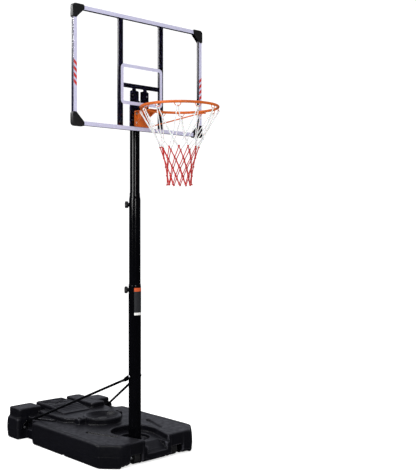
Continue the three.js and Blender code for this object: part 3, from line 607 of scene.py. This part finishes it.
def fasten_from_front(node, body, across, height=BOLT_HEAD, shank=BOLT_SHANK, washer=None):
    """A hexagon bolt with its head at the front end of its CAD node."""
    low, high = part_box(node)
    place = Vector(((low[0] + high[0]) / 2, low[1] + height, (low[2] + high[2]) / 2))
    fasten(node, body, place, (0, 1, 0), across, height, shank, high[1] - low[1] - height, washer)


def make_rim_bolts():
    for i in range(1, 5):
        fasten_from_front(f"rim_bolt_{i}", "upper", BOLT_ACROSS, washer=0.0088)


def make_bracket_bolts():
    for side in ("left", "right"):
        for height in ("lower", "upper"):
            node = f"bracket_bolt_{side}_{height}"
            fasten_from_front(node, "upper", BOLT_ACROSS, height=0.005, shank=0.0035)


def make_clamp_bolts():
    for height in ("lower", "upper"):
        node = f"clamp_bolt_{height}"
        low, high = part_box(node)
        place = Vector((high[0] - BOLT_HEAD, (low[1] + high[1]) / 2, (low[2] + high[2]) / 2))
        reach = high[0] - low[0] - BOLT_HEAD
        fasten(node, "upper", place, (-1, 0, 0), BIG_BOLT_ACROSS, BOLT_HEAD, BOLT_SHANK, reach)
        nut = f"clamp_nut_{height}"
        low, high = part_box(nut)
        seat = Vector((high[0], (low[1] + high[1]) / 2, (low[2] + high[2]) / 2))
        shape = Shape().add(hex_form(BIG_BOLT_ACROSS, high[0] - low[0]), pointing(seat, (-1, 0, 0)))
        make_piece(f"{nut}_hex", shape, ZINC, "upper", [nut])


def make_strut_bolts():
    tall = 0.007
    dome = [(0.0094, 0), (0.0094, 0.0008), (0.0090, 0.0022), (0.0076, 0.0046), (0.0046, 0.0064),
            (0.0016, tall)]
    low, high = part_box("strut_cross_bolt")
    seat = Vector((low[0] + tall, POLE_Y, STRUT_TOP.z))
    shape = Shape().add(lathe(dome, 40), pointing(seat, (-1, 0, 0)))
    shape.add(threaded(0.0045, high[0] - seat.x), pointing(seat, (1, 0, 0)))
    make_piece("strut_cross_bolt_dome", shape, ZINC, "base", ["strut_cross_bolt"])
    seat = Vector((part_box("strut_cross_nut")[0][0], POLE_Y, STRUT_TOP.z))
    shape = Shape().add(lathe(dome, 40), pointing(seat, (1, 0, 0)))
    make_piece("strut_cross_nut_dome", shape, ZINC, "base", ["strut_cross_nut"])
    for side in ("left", "right"):
        fasten_from_front(f"strut_foot_bolt_{side}", "base", BIG_BOLT_ACROSS)


# ---------------------------------------------------------------- pole


def pole_profile(radius, bottom, top, taper, mouth, bore):
    """A tube wall with rolled edges, whose top end is swaged in."""
    inner = radius - TUBE_WALL
    lip = 0.0006
    profile = [(inner, bottom + lip), (inner + lip, bottom)]
    profile += [(radius - lip, bottom), (radius, bottom + lip)]
    if taper:
        for share in (0.0, 0.08, 0.25, 0.5, 0.75, 0.92, 1.0):
            ease = share * share * (3 - 2 * share)
            z = top - taper + share * taper * 2 / 3
            profile.append((radius + (mouth - radius) * ease, z))
    profile += [(mouth, top - lip), (mouth - lip, top), (bore + lip, top), (bore, top - lip)]
    if taper:
        profile += [(bore, top - taper / 3), (inner, top - taper - TUBE_WALL)]
    return profile


def make_pole():
    axis = Matrix.Translation((0, POLE_Y, 0))
    tubes = [
        ("pole_lower_tube", "base", LOWER_RADIUS, 0.014, 0.0389, 0.0376),
        ("pole_middle_tube", "middle", MIDDLE_RADIUS, 0.045, 0.0339, 0.0322),
        ("pole_upper_tube", "upper", UPPER_RADIUS, 0.0, UPPER_RADIUS, UPPER_RADIUS - TUBE_WALL),
    ]
    for node, body, radius, taper, mouth, bore in tubes:
        low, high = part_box(node)
        form = lathe(pole_profile(radius, low[2], high[2], taper, mouth, bore), 96, hollow=True)
        shape = Shape().add(form, axis)
        make_piece(f"{node}_drawn", shape, BLACK_PAINT, body, [node], 40)

    low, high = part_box("pole_top_cap")
    rim = high[2] - 0.007
    plug = 0.0295
    cap = [(plug - 0.0005, low[2]), (plug, low[2] + 0.001), (plug, rim)]
    cap += [(r, rim + rise) for r, rise in (
        (UPPER_RADIUS, 0.0), (UPPER_RADIUS, 0.0026), (0.0308, 0.0040), (0.0270, 0.0056),
        (0.0200, 0.0066), (0.0060, 0.0070))]
    shape = Shape().add(lathe(cap, 96), axis)
    make_piece("pole_top_cap_domed", shape, BLACK_PLASTIC, "upper", ["pole_top_cap"])


def label_band(z0, z1):
    """A film wrapped over the front quarter of the lower tube."""
    inner = LOWER_RADIUS + 0.0003
    outer = inner + 0.0006
    steps = 36
    rings = []
    for i in range(steps + 1):
        a = math.radians(-135 + 90 * i / steps)
        way = Vector((math.cos(a), math.sin(a), 0))
        edges = ((inner, z0), (outer, z0), (outer, z1), (inner, z1))
        rings.append([way * r + Vector((0, POLE_Y, z)) for r, z in edges])
    return loft(rings)


def make_label():
    low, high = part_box("pole_label")
    white_top = low[2] + 0.016
    orange_bottom = high[2] - 0.023
    bands = [
        ("label_body", white_top, orange_bottom, LABEL_GREY, ["pole_label"]),
        ("label_top_band", orange_bottom, high[2], LABEL_ORANGE, []),
        ("label_bottom_band", low[2], white_top, LABEL_WHITE, []),
    ]
    for name, z0, z1, look, nodes in bands:
        make_piece(name, Shape().add(label_band(z0, z1)), look, "base", nodes)


def make_knob(name, tube_radius, body, knob_body):
    """A seven-lobed hand knob on its screw and welded boss."""
    node = f"{name}_knob"
    boss = f"{node}_boss"
    seat = Vector((0, POLE_Y, middle(boss).z)) + KNOB_AXIS * (tube_radius + 0.006)
    softened(boss, 0.0008, BLACK_PAINT, body)

    levels = [(0.0150, 0.0003), (0.0178, 0.0003), (0.0192, 0.0012), (0.0200, 0.0030),
              (0.0204, 0.0080), (0.0204, 0.0130), (0.0200, 0.0165), (0.0188, 0.0188),
              (0.0168, 0.0199), (0.0140, 0.0200)]
    rings = []
    for radius, z in levels:
        depth = 0.115 * min(1.0, radius / 0.0192) ** 3
        rings.append(polar(radius, z, 112, lambda a, d=depth: 1.0 + d * math.cos(7 * a)))
    dimple = [(0.0120, 0.0200), (0.0108, 0.0194), (0.0100, 0.0182), (0.0060, 0.0178),
              (0.0020, 0.0177)]
    rings += [polar(r, z, 112) for r, z in dimple]
    shape = Shape().add(loft(rings), pointing(seat, KNOB_AXIS))
    make_piece(f"{node}_lobed", shape, BLACK_PLASTIC, knob_body, [node])


# ---------------------------------------------------------------- struts


def section(centre, u, v, a, b, power):
    """A rounded cross-section: a circle at power 2, nearly a flat bar at power 5."""
    sides = 28
    ring = []
    for i in range(sides):
        t = FULL_TURN * i / sides
        c, s = math.cos(t), math.sin(t)
        x = a * math.copysign(abs(c) ** (2 / power), c)
        y = b * math.copysign(abs(s) ** (2 / power), s)
        ring.append(centre + u * x + v * y)
    return ring


def flat_stations(eye, way, u, v, half, length):
    """Stations of a flattened end, from the round tip past the bolt to the start of the rod."""
    thick = 0.002
    stations = []
    for share in (-0.985, -0.9, -0.72, -0.45, 0.0):
        width = half * math.sqrt(1 - share * share)
        stations.append((eye + way * (half * share), u, v, max(width, 0.002), thick, 5))
    end = length - 0.022
    stations.append((eye + way * end, u, v, half, thick, 5))
    stations.append((eye + way * (end + 0.008), u, v, half * 0.86, thick * 1.6, 3.4))
    stations.append((eye + way * (end + 0.016), u, v, half * 0.66, thick * 2.9, 2.4))
    return stations


def make_strut(side):
    name = "left" if side < 0 else "right"
    mirror = Vector((side, 1, 1))
    top = STRUT_TOP * mirror
    foot = STRUT_FOOT * mirror
    drop = STRUT_TOP.z - STRUT_FOOT.z
    rise = math.atan2(drop, STRUT_FOOT.x - STRUT_ROD_TOP_X)
    fall = math.atan2(drop, STRUT_SLOPE_RUN)
    down = Vector((0, math.cos(fall), -math.sin(fall)))
    up = Vector((-side * math.cos(rise), 0, math.sin(rise)))
    rod_top = Vector((side * STRUT_ROD_TOP_X, POLE_Y + STRUT_TOP_FLAT * math.cos(fall),
                      STRUT_TOP.z - STRUT_TOP_FLAT * math.sin(fall)))
    rod_foot = Vector((side * (STRUT_FOOT.x - STRUT_FOOT_FLAT * math.cos(rise)),
                       POLE_Y + STRUT_ROD_RUN, STRUT_FOOT.z + STRUT_FOOT_FLAT * math.sin(rise)))

    x_way = Vector((1, 0, 0))
    y_way = Vector((0, 1, 0))
    across = down.cross(x_way).normalized()
    upper = flat_stations(top, down, across, x_way, 0.0145, STRUT_TOP_FLAT + 0.010)
    across = up.cross(y_way).normalized()
    lower = flat_stations(foot, up, across, y_way, 0.0135, STRUT_FOOT_FLAT + 0.012)
    lower.reverse()

    along = (rod_foot - rod_top).normalized()
    start_u, end_u = upper[-1][1], lower[0][1]
    if start_u.dot(end_u) < 0:
        lower = [(c, -u, v, a, b, p) for c, u, v, a, b, p in lower]
        end_u = -end_u
    rod = []
    for share in (0.015, 0.04, 0.2, 0.4, 0.6, 0.8, 0.965, 0.99):
        u = start_u.lerp(end_u, share)
        u = (u - along * u.dot(along)).normalized()
        spot = rod_top.lerp(rod_foot, share)
        rod.append((spot, u, along.cross(u), STRUT_RADIUS, STRUT_RADIUS, 2))
    rings = []
    for c, u, v, a, b, p in upper + rod + lower:
        if u.cross(v).dot(along) < 0:
            v = -v
        rings.append(section(c, u, v, a, b, p))
    shape = Shape().add(loft(rings))
    node = f"strut_{name}"
    make_piece(f"{node}_formed", shape, BLACK_PAINT, "base", [node], 50)


# ---------------------------------------------------------------- backboard


def weld_ring(low, high, z):
    """A bead round the end of an upright bar, with the ripples of the weld."""
    radius = 0.0016
    out = 0.0004
    x0, x1 = low[0] - out, high[0] + out
    y0, y1 = low[1] - out, high[1] + out
    corners = [Vector((x, y, z)) for x, y in ((x0, y0), (x1, y0), (x1, y1), (x0, y1))]
    path = []
    radii = []
    steps = 16
    for i, corner in enumerate(corners):
        after = corners[(i + 1) % 4]
        for k in range(steps):
            path.append(corner.lerp(after, k / steps))
            radii.append(radius * (0.85 + 0.22 * math.sin(1.9 * (i * steps + k))))
    return sweep(path, radii, 8, closed=True)


def make_frame():
    rails = ["frame_top_rail", "frame_bottom_rail", "frame_left_rail", "frame_right_rail",
             "frame_left_bar", "frame_right_bar", "frame_cross_bar"]
    for node in rails:
        low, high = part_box(node)
        shape = Shape().add(rounded_box(low, high, 0.0022))
        make_piece(f"{node}_drawn", shape, FRAME_PAINT, "upper", [node])
    welds = Shape()
    for node in ("frame_left_bar", "frame_right_bar", "frame_left_rail", "frame_right_rail"):
        low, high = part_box(node)
        for z in (low[2] + 0.0006, high[2] - 0.0006):
            welds.add(weld_ring(low, high, z))
    make_piece("frame_welds", welds, FRAME_PAINT, "upper", [], 60)


TRIM_WIDTH = 0.024
TARGET_LINE = 0.021


def rounded_outline(low, high, inset, radius, steps):
    """A rounded rectangle in x and z, drawn in from a box by an inset."""
    near = inset + radius
    x0, x1 = low[0] + near, high[0] - near
    z0, z1 = low[2] + near, high[2] - near
    ring = []
    for x, z, start in ((x0, z0, 180), (x1, z0, 270), (x1, z1, 0), (x0, z1, 90)):
        for i in range(steps + 1):
            a = math.radians(start + 90 * i / steps)
            ring.append((x + radius * math.cos(a), z + radius * math.sin(a)))
    return ring


def make_film(node, width, outer_radius, inner_radius, steps):
    """A flat printed line, as wide as given, just inside its CAD node's outline."""
    low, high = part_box(node)
    outer = rounded_outline(low, high, 0.0, outer_radius, steps)
    inner = rounded_outline(low, high, width, inner_radius, steps)
    layers = [(outer, high[1]), (outer, low[1]), (inner, low[1]), (inner, high[1])]
    rings = [[Vector((x, y, z)) for x, z in ring] for ring, y in layers]
    shape = Shape().add(loft(rings, wrap=True))
    make_piece(f"{node}_print", shape, SILVER, "upper", [node])


def make_prints():
    make_film("target_square", TARGET_LINE, 0.026, 0.009, 10)
    make_film("border_trim", TRIM_WIDTH, 0.004, 0.002, 4)


def make_stripes():
    """Four slanted red stripes on each side strip."""
    low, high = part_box("border_trim")
    front = low[1] - 0.0002
    count = 4
    pitch = 0.039
    tall = 0.022
    slant = 0.020
    edge = 0.0012
    stripes = Shape()
    for side, base in ((-1, 2.290), (1, 2.306)):
        outer = low[0] + edge if side < 0 else high[0] - edge
        inner = outer - side * (TRIM_WIDTH - 2 * edge)
        for i in range(count):
            z = base + i * pitch
            corners = [(outer, z + slant), (inner, z), (inner, z + tall), (outer, z + slant + tall)]
            back = [Vector((x, low[1] - 0.00002, h)) for x, h in corners]
            face = [Vector((x, front, h)) for x, h in corners]
            stripes.add(loft([back, face]))
    make_piece("red_stripes", stripes, RED_FILM, "upper")


def make_guards():
    for up in ("top", "bottom"):
        for side in ("left", "right"):
            node = f"corner_guard_{up}_{side}"
            softened(node, 0.0014, BLACK_PLASTIC, "upper", 3)


def make_brackets():
    for node in ("mount_plate_left", "mount_plate_right", "pole_bracket"):
        softened(node, 0.0005, FRAME_PAINT, "upper")


# ---------------------------------------------------------------- rim and net


def hook_angle(i):
    return (i + 0.5) * FULL_TURN / HOOK_COUNT


def about_ring(angle, radius, z):
    x = RING_CENTRE.x + radius * math.cos(angle)
    return Vector((x, RING_CENTRE.y + radius * math.sin(angle), z))


def make_ring():
    shape = Shape()
    path = [about_ring(FULL_TURN * i / 192, RING_RADIUS, RING_CENTRE.z) for i in range(192)]
    shape.add(sweep(path, ROD_RADIUS, 24, closed=True))
    under = RING_CENTRE.z - ROD_RADIUS
    shoulder = 0.0025 - HOOK_DROP
    knots = [(-1, 0.003), (-1, -0.005), (-0.55, shoulder), (0, -HOOK_DROP), (0.55, shoulder),
             (1, -0.005), (1, 0.003)]
    bead = [(0.0006, -0.0020), (0.0026, -0.0014), (0.0036, 0.0), (0.0034, 0.0016), (0.0020, 0.0026)]
    for i in range(HOOK_COUNT):
        angle = hook_angle(i)
        points = [about_ring(angle + HOOK_SWEEP * a, RING_RADIUS, under + z) for a, z in knots]
        shape.add(sweep(smooth_path(points, 6), HOOK_WIRE, 12))
        for end in (-1, 1):
            weld = about_ring(angle + HOOK_SWEEP * end, RING_RADIUS, under - 0.0004)
            shape.add(lathe(bead, 16), Matrix.Translation(weld))
    make_piece("rim_ring_bent", shape, ORANGE_PAINT, "upper", ["rim_ring"], 60)


def make_braces():
    for side in (-1, 1):
        name = "left" if side < 0 else "right"
        node = f"rim_brace_{name}"
        low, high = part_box(node)
        spread = math.radians(87)
        under = RING_CENTRE.z - ROD_RADIUS - BRACE_RADIUS - 0.0009
        end = Vector((side * RING_RADIUS * math.sin(spread),
                      RING_CENTRE.y + RING_RADIUS * math.cos(spread), under))
        start = Vector((side * 0.056, high[1] - 0.0018, low[2] + BRACE_RADIUS))
        knee = start.lerp(end, 0.86)
        knee.z = under - 0.003
        path = smooth_path([start, start.lerp(knee, 0.5), knee, end], 14)
        shape = Shape().add(sweep(path, BRACE_RADIUS * 0.98, 20))
        make_piece(f"{node}_bent", shape, ORANGE_PAINT, "upper", [node], 60)


def make_rim_welds():
    """A bead where the tongue meets the plate."""
    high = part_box("rim_plate")[1]
    half = 0.046
    steps = 60
    y = high[1] - 0.0046
    z = high[2] - 0.0045
    path = [Vector((-half + 2 * half * i / steps, y, z)) for i in range(steps + 1)]
    radii = [0.0019 * (0.85 + 0.25 * math.sin(2.1 * i)) for i in range(steps + 1)]
    bead = Shape().add(sweep(path, radii, 8))
    make_piece("rim_welds", bead, ORANGE_PAINT, "upper", [], 60)


CORD_RADIUS = 0.0030
WRAP_RADIUS = 0.0036
WRAP_TURNS = 1.6
NET_ROWS = [  # height, radius and whether the row lies between the hooks
    (1.985, 0.142, True),
    (1.930, 0.117, False),
    (1.866, 0.097, True),
    (1.812, 0.083, False),
    (1.759, 0.076, True),
    (1.706, 0.074, False),
]
RED_FROM = 1  # the row at which the red cord begins


def row_angle(row, i):
    between = NET_ROWS[row][2]
    return hook_angle(i) + (0.5 * FULL_TURN / HOOK_COUNT if between else 0.0)


def net_point(row, i):
    """A knot's place, with the small unevenness of a hand-tied net."""
    height, radius, _ = NET_ROWS[row]
    lift = 0.004 * noise.noise(Vector((row * 3.7, i * 5.3, 0.5)))
    drift = math.radians(2.2) * noise.noise(Vector((row * 2.1, i * 4.9, 7.5)))
    push = 0.004 * noise.noise(Vector((row * 6.1, i * 3.3, 2.5)))
    return about_ring(row_angle(row, i) + drift, radius + push, height + lift)


def strand(start, end, sag):
    """A slack cord between two knots, bowed towards the net's axis and down."""
    points = []
    steps = 8
    for k in range(steps + 1):
        t = k / steps
        p = start.lerp(end, t)
        bow = sag * 4 * t * (1 - t)
        inward = Vector((RING_CENTRE.x - p.x, RING_CENTRE.y - p.y, 0)).normalized()
        points.append(p + inward * bow * 0.5 + Vector((0, 0, -bow)))
    return points


def knot(place, shape):
    """A cord wrapped a little over one and a half turns round a crossing."""
    way = Vector((place.x - RING_CENTRE.x, place.y - RING_CENTRE.y, 0)).normalized()
    across = Vector((-way.y, way.x, 0))
    path = []
    steps = 24
    for k in range(steps + 1):
        t = k / steps
        a = FULL_TURN * WRAP_TURNS * t
        turned = across * (WRAP_RADIUS * math.cos(a)) + way * (WRAP_RADIUS * math.sin(a))
        path.append(place + turned + Vector((0, 0, 0.0048 * (t - 0.5))))
    shape.add(sweep(path, CORD_RADIUS * 0.95, 8))


def hook_loop(i, shape):
    """The white cord up from one knot, over its hook and down to the next knot."""
    angle = hook_angle(i)
    seat = RING_CENTRE.z - ROD_RADIUS - HOOK_DROP + HOOK_WIRE + 0.9 * CORD_RADIUS
    over = about_ring(angle, RING_RADIUS, seat)
    step = math.radians(1.2)
    outside = about_ring(angle - step, RING_RADIUS + 0.0048, seat - 0.006)
    inside = about_ring(angle + step, RING_RADIUS - 0.0048, seat - 0.006)
    low_out = about_ring(angle - step * 1.2, RING_RADIUS - 0.004, seat - 0.022)
    low_in = about_ring(angle + step * 1.2, RING_RADIUS - 0.010, seat - 0.022)
    sag = 0.006
    left = strand(net_point(0, i - 1), low_out, sag)
    right = strand(low_in, net_point(0, i), sag)
    loop = smooth_path([low_out, outside, over, inside, low_in], 5)
    shape.add(sweep(left[:-1] + loop[:-1] + right, CORD_RADIUS))


def make_net():
    sag = 0.0025
    white = Shape()
    red = Shape()
    for i in range(HOOK_COUNT):
        hook_loop(i, white)
    for row in range(len(NET_ROWS)):
        shape = white if row < RED_FROM else red
        for i in range(HOOK_COUNT):
            knot(net_point(row, i), shape)
        if row + 1 < len(NET_ROWS):
            for i in range(HOOK_COUNT):
                here = net_point(row, i)
                other = i + 1 if NET_ROWS[row][2] else i - 1
                for j in (i, other % HOOK_COUNT):
                    shape.add(sweep(strand(here, net_point(row + 1, j), sag), CORD_RADIUS))
    make_piece("net_white_cord", white, WHITE_CORD, "upper", ["net"], 80)
    make_piece("net_red_cord", red, RED_CORD, "upper", [], 80)


# ---------------------------------------------------------------- tank, wheels and cap

VOXEL = 0.0045
FACE_LIMIT = 185000
RAMP_BASE = 0.174  # the height at which the middle block's ramp starts


def smoothstep(edge0, edge1, x):
    t = np.clip((x - edge0) / (edge1 - edge0), 0.0, 1.0)
    return t * t * (3 - 2 * t)


def window(x, low, high, soft):
    return smoothstep(low, low + soft, x) * (1 - smoothstep(high - soft, high, x))


def tank_relief(points, normals):
    """How far each point of the tank's skin moves along its normal, in metres."""
    x = points[:, 0]
    y = points[:, 1] - POLE_Y
    z = points[:, 2]
    up = normals[:, 2]
    level = smoothstep(0.7, 0.95, up)
    wall = 1 - smoothstep(0.1, 0.5, np.abs(up))
    move = np.zeros(len(points))

    # Blown walls belly out between the ground and the deck.
    outer = np.maximum(smoothstep(0.36, 0.382, np.abs(x)), smoothstep(0.195, 0.217, -y))
    outer = np.maximum(outer, smoothstep(0.475, 0.497, np.abs(x) - y))
    arch = window(np.abs(x), 0.115, 0.22, 0.01) * smoothstep(0.1, 0.14, -y)
    belly = np.clip(1 - ((z - 0.072) / 0.072) ** 2, 0, 1)
    move += 0.007 * belly * wall * outer * (1 - arch)

    # The middle block: ribs across its front part, a pebbled panel behind them.
    on_block = window(x, -0.152, 0.046, 0.006) * level * smoothstep(0.195, 0.2, z)
    ribs = window(y, 0.575, 0.735, 0.006)
    groove = smoothstep(0.35, 0.75, 0.5 + 0.5 * np.cos(FULL_TURN * (y - 0.575) / 0.0267))
    move -= 0.0060 * on_block * ribs * groove
    pebbled = window(y, 0.755, 0.905, 0.006) * on_block
    move -= 0.003 * pebbled
    for k in (1, 2, 3):
        pebble = np.sin(x * (330 + 47 * k) + 2.1 * k) * np.sin(y * (310 + 61 * k) + 1.3 * k)
        move += 0.0020 * pebbled * pebble

    # Flat panels let into the tops of the other rear blocks.
    on_top = level * smoothstep(0.19, 0.2, z)
    for x0, x1, y0, y1 in ((-0.370, -0.225, 0.79, 0.895), (0.112, 0.198, 0.62, 0.90)):
        move -= 0.0025 * window(x, x0, x1, 0.006) * window(y, y0, y1, 0.006) * on_top

    # A shallow ridge just inside the deck's edge.
    deck = level * window(z, 0.136, 0.150, 0.003)
    rim = window(np.abs(x), 0.350, 0.364, 0.005) * window(y, -0.09, 0.58, 0.01)
    move += 0.002 * deck * rim

    # The slow waviness of a blow-moulded wall.
    wave = np.sin(x * 17 + 1.0) * np.sin(y * 13 + 0.4)
    wave += 0.6 * np.sin(x * 31 + z * 20 + 2.0) * np.sin(y * 27)
    move += 0.0005 * wave * smoothstep(0.004, 0.02, z)
    return move


def ramped(points):
    """The skin's heights once the middle block's ribbed front part slopes up to the back."""
    y = points[:, 1] - POLE_Y
    z = points[:, 2]
    rise = smoothstep(0.56, 0.74, y)
    inside = window(points[:, 0], -0.172, 0.066, 0.006) * smoothstep(0.545, 0.56, y)
    keep = 1 - 0.75 * inside * (1 - rise)
    return np.where(z > RAMP_BASE, RAMP_BASE + (z - RAMP_BASE) * keep, z)


def baked(holder):
    """The mesh of an object with its modifiers applied. The object is removed."""
    depsgraph = bpy.context.evaluated_depsgraph_get()
    mesh = bpy.data.meshes.new_from_object(holder.evaluated_get(depsgraph))
    bpy.data.objects.remove(holder)
    return mesh


def make_tank():
    """The CAD tank as an even skin, with its relief pressed in, thinned to a face limit."""
    maker = new_object("tank_maker", frame["nodes"]["ballast_tank"].data.copy())
    remesh = maker.modifiers.new("voxels", "REMESH")
    remesh.mode = "VOXEL"
    remesh.voxel_size = VOXEL
    relax = maker.modifiers.new("relax", "SMOOTH")
    relax.factor = 0.5
    relax.iterations = 3
    skin = baked(maker)

    count = len(skin.vertices)
    points = np.empty(count * 3)
    normals = np.empty(count * 3)
    skin.vertices.foreach_get("co", points)
    skin.vertices.foreach_get("normal", normals)
    points = points.reshape(-1, 3)
    normals = normals.reshape(-1, 3)
    points += normals * tank_relief(points, normals)[:, None]
    points[:, 2] = np.maximum(points[:, 2], 0.0)
    points[:, 2] = ramped(points)
    skin.vertices.foreach_set("co", points.ravel())
    skin.update()

    holder = new_object("tank_holder", skin)
    thin = holder.modifiers.new("thin", "DECIMATE")
    thin.ratio = min(1.0, FACE_LIMIT / (2 * len(skin.polygons)))
    dress("ballast_tank_blown", baked(holder), TANK_PLASTIC, "base", ["ballast_tank"], 60)


def make_wheels():
    tread_count = 28
    web_count = 6
    sides = 112

    def tread(a):
        return 1.0 - 0.018 * (0.5 + 0.5 * math.cos(tread_count * a)) ** 4

    for side in ("left", "right"):
        node = f"wheel_{side}"
        low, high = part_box(node)
        radius = (high[1] - low[1]) / 2
        half = (high[0] - low[0]) / 2
        profile = [  # radius, depth from the wheel's side face and whether the tread cuts it
            (0.00645, 0.0, False), (0.0140, 0.0, False), (0.0160, 0.001, False),
            (0.0170, 0.008, False), (radius - 0.0100, 0.008, False),
            (radius - 0.0085, 0.0008, False), (radius - 0.0060, 0.0, False),
            (radius - 0.003, 0.0012, True), (radius - 0.0008, 0.003, True), (radius, 0.006, True),
        ]
        rings = []
        for face, points in ((-1, profile), (1, profile[::-1])):
            rings += [polar(r, face * (half - depth), sides, tread if cut else None)
                      for r, depth, cut in points]
        place = Matrix.Translation(middle(node)) @ Matrix.Rotation(math.pi / 2, 4, "Y")
        shape = Shape().add(loft(rings, wrap=True), place)
        for k in range(web_count):
            turn = Matrix.Rotation(FULL_TURN * k / web_count, 4, "Z")
            for face in (-1, 1):
                z0, z1 = sorted((face * (half - 0.0085), face * (half - 0.002)))
                web = rounded_box((0.0155, -0.0018, z0), (radius - 0.0090, 0.0018, z1), 0.0006, 1)
                shape.add(web, place @ turn)
        make_piece(f"{node}_treaded", shape, BLACK_PLASTIC, f"{node}_body", [node], 40)


def make_axle():
    low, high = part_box("axle")
    centre = middle("axle")
    length = high[0] - low[0]
    radius = 0.006
    edge = 0.0012
    profile = [(radius - edge, 0), (radius, edge), (radius, length - edge), (radius - edge, length)]
    shape = Shape().add(lathe(profile, 40), pointing((low[0], centre.y, centre.z), (1, 0, 0)))
    make_piece("axle_turned", shape, ZINC, "base", ["axle"])
    for side in ("left", "right"):
        softened(f"axle_clip_{side}", 0.0003, ZINC, "base", 1)


def make_fill_cap():
    low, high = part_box("fill_cap")
    centre = middle("fill_cap")
    head = 0.015
    seat = high[2] - head
    dips = 10
    pitch = 0.003

    def grip(a):
        return 1.0 - 0.085 * (0.5 + 0.5 * math.cos(dips * a)) ** 3

    profile = [(0.0215, low[2], None), (0.0230, low[2] + 0.0012, None)]
    z = low[2] + pitch
    while z < seat - 0.004:
        profile += [(0.0234, z, None), (0.0222, z + pitch / 2, None)]
        z += pitch
    profile += [(r, seat + rise, wave) for r, rise, wave in (
        (0.0232, 0.0003, None), (0.0300, 0.0003, None), (0.0318, 0.0012, None),
        (0.0320, 0.0030, grip), (0.0320, 0.0105, grip), (0.0312, 0.0130, grip),
        (0.0296, 0.0146, grip), (0.0270, head, None), (0.0230, head, None),
        (0.0222, 0.0140, None), (0.0120, 0.0136, None), (0.0110, 0.0146, None),
        (0.0040, 0.0149, None))]
    place = Matrix.Translation((centre.x, centre.y, 0))
    shape = Shape().add(loft([polar(r, z, 120, wave) for r, z, wave in profile]), place)
    low_corner = (-0.018, -0.0028, seat + 0.0125)
    high_corner = (0.018, 0.0028, seat + head)
    shape.add(rounded_box(low_corner, high_corner, 0.0008, 2), place)
    make_piece("fill_cap_ribbed", shape, BLACK_PLASTIC, "fill_cap_body", ["fill_cap"])


# ---------------------------------------------------------------- the scene

make_camera()
make_floor()
make_world()
make_light("key", (-2.6, -2.6, 5.0), (0, 0.1, 1.2), 2.4, 70)
make_light("strip_left", (-3.0, -0.2, 2.16), (0, -0.13, 1.85), 1.1, 36, 0.88)
make_light("strip_front", (-1.74, -3.73, 2.16), (0, -0.13, 1.85), 0.6, 22, 0.88)
make_light("side_back", (-1.5, 2.0, 3.5), (0.5, -0.25, 2.5), 1.1, 50)
bpy.context.scene.view_settings.view_transform = "Standard"

make_pole()
make_label()
make_knob("lower", LOWER_RADIUS, "base", "lower_knob_body")
make_knob("upper", MIDDLE_RADIUS, "middle", "upper_knob_body")
make_strut(-1)
make_strut(1)
make_strut_bolts()
make_frame()
make_prints()
make_stripes()
make_guards()
make_brackets()
make_bracket_bolts()
make_clamp_bolts()
softened("rim_plate", 0.0006, ORANGE_PAINT, "upper")
make_rim_bolts()
make_ring()
make_braces()
make_rim_welds()
make_net()
make_tank()
make_wheels()
make_axle()
make_fill_cap()

for row in frame["record"]["subparts"]:
    part = frame["nodes"][row["node"]]
    part.data.materials.clear()
    part.data.materials.append(SLOT_LOOKS[row["material_slot"]].material)
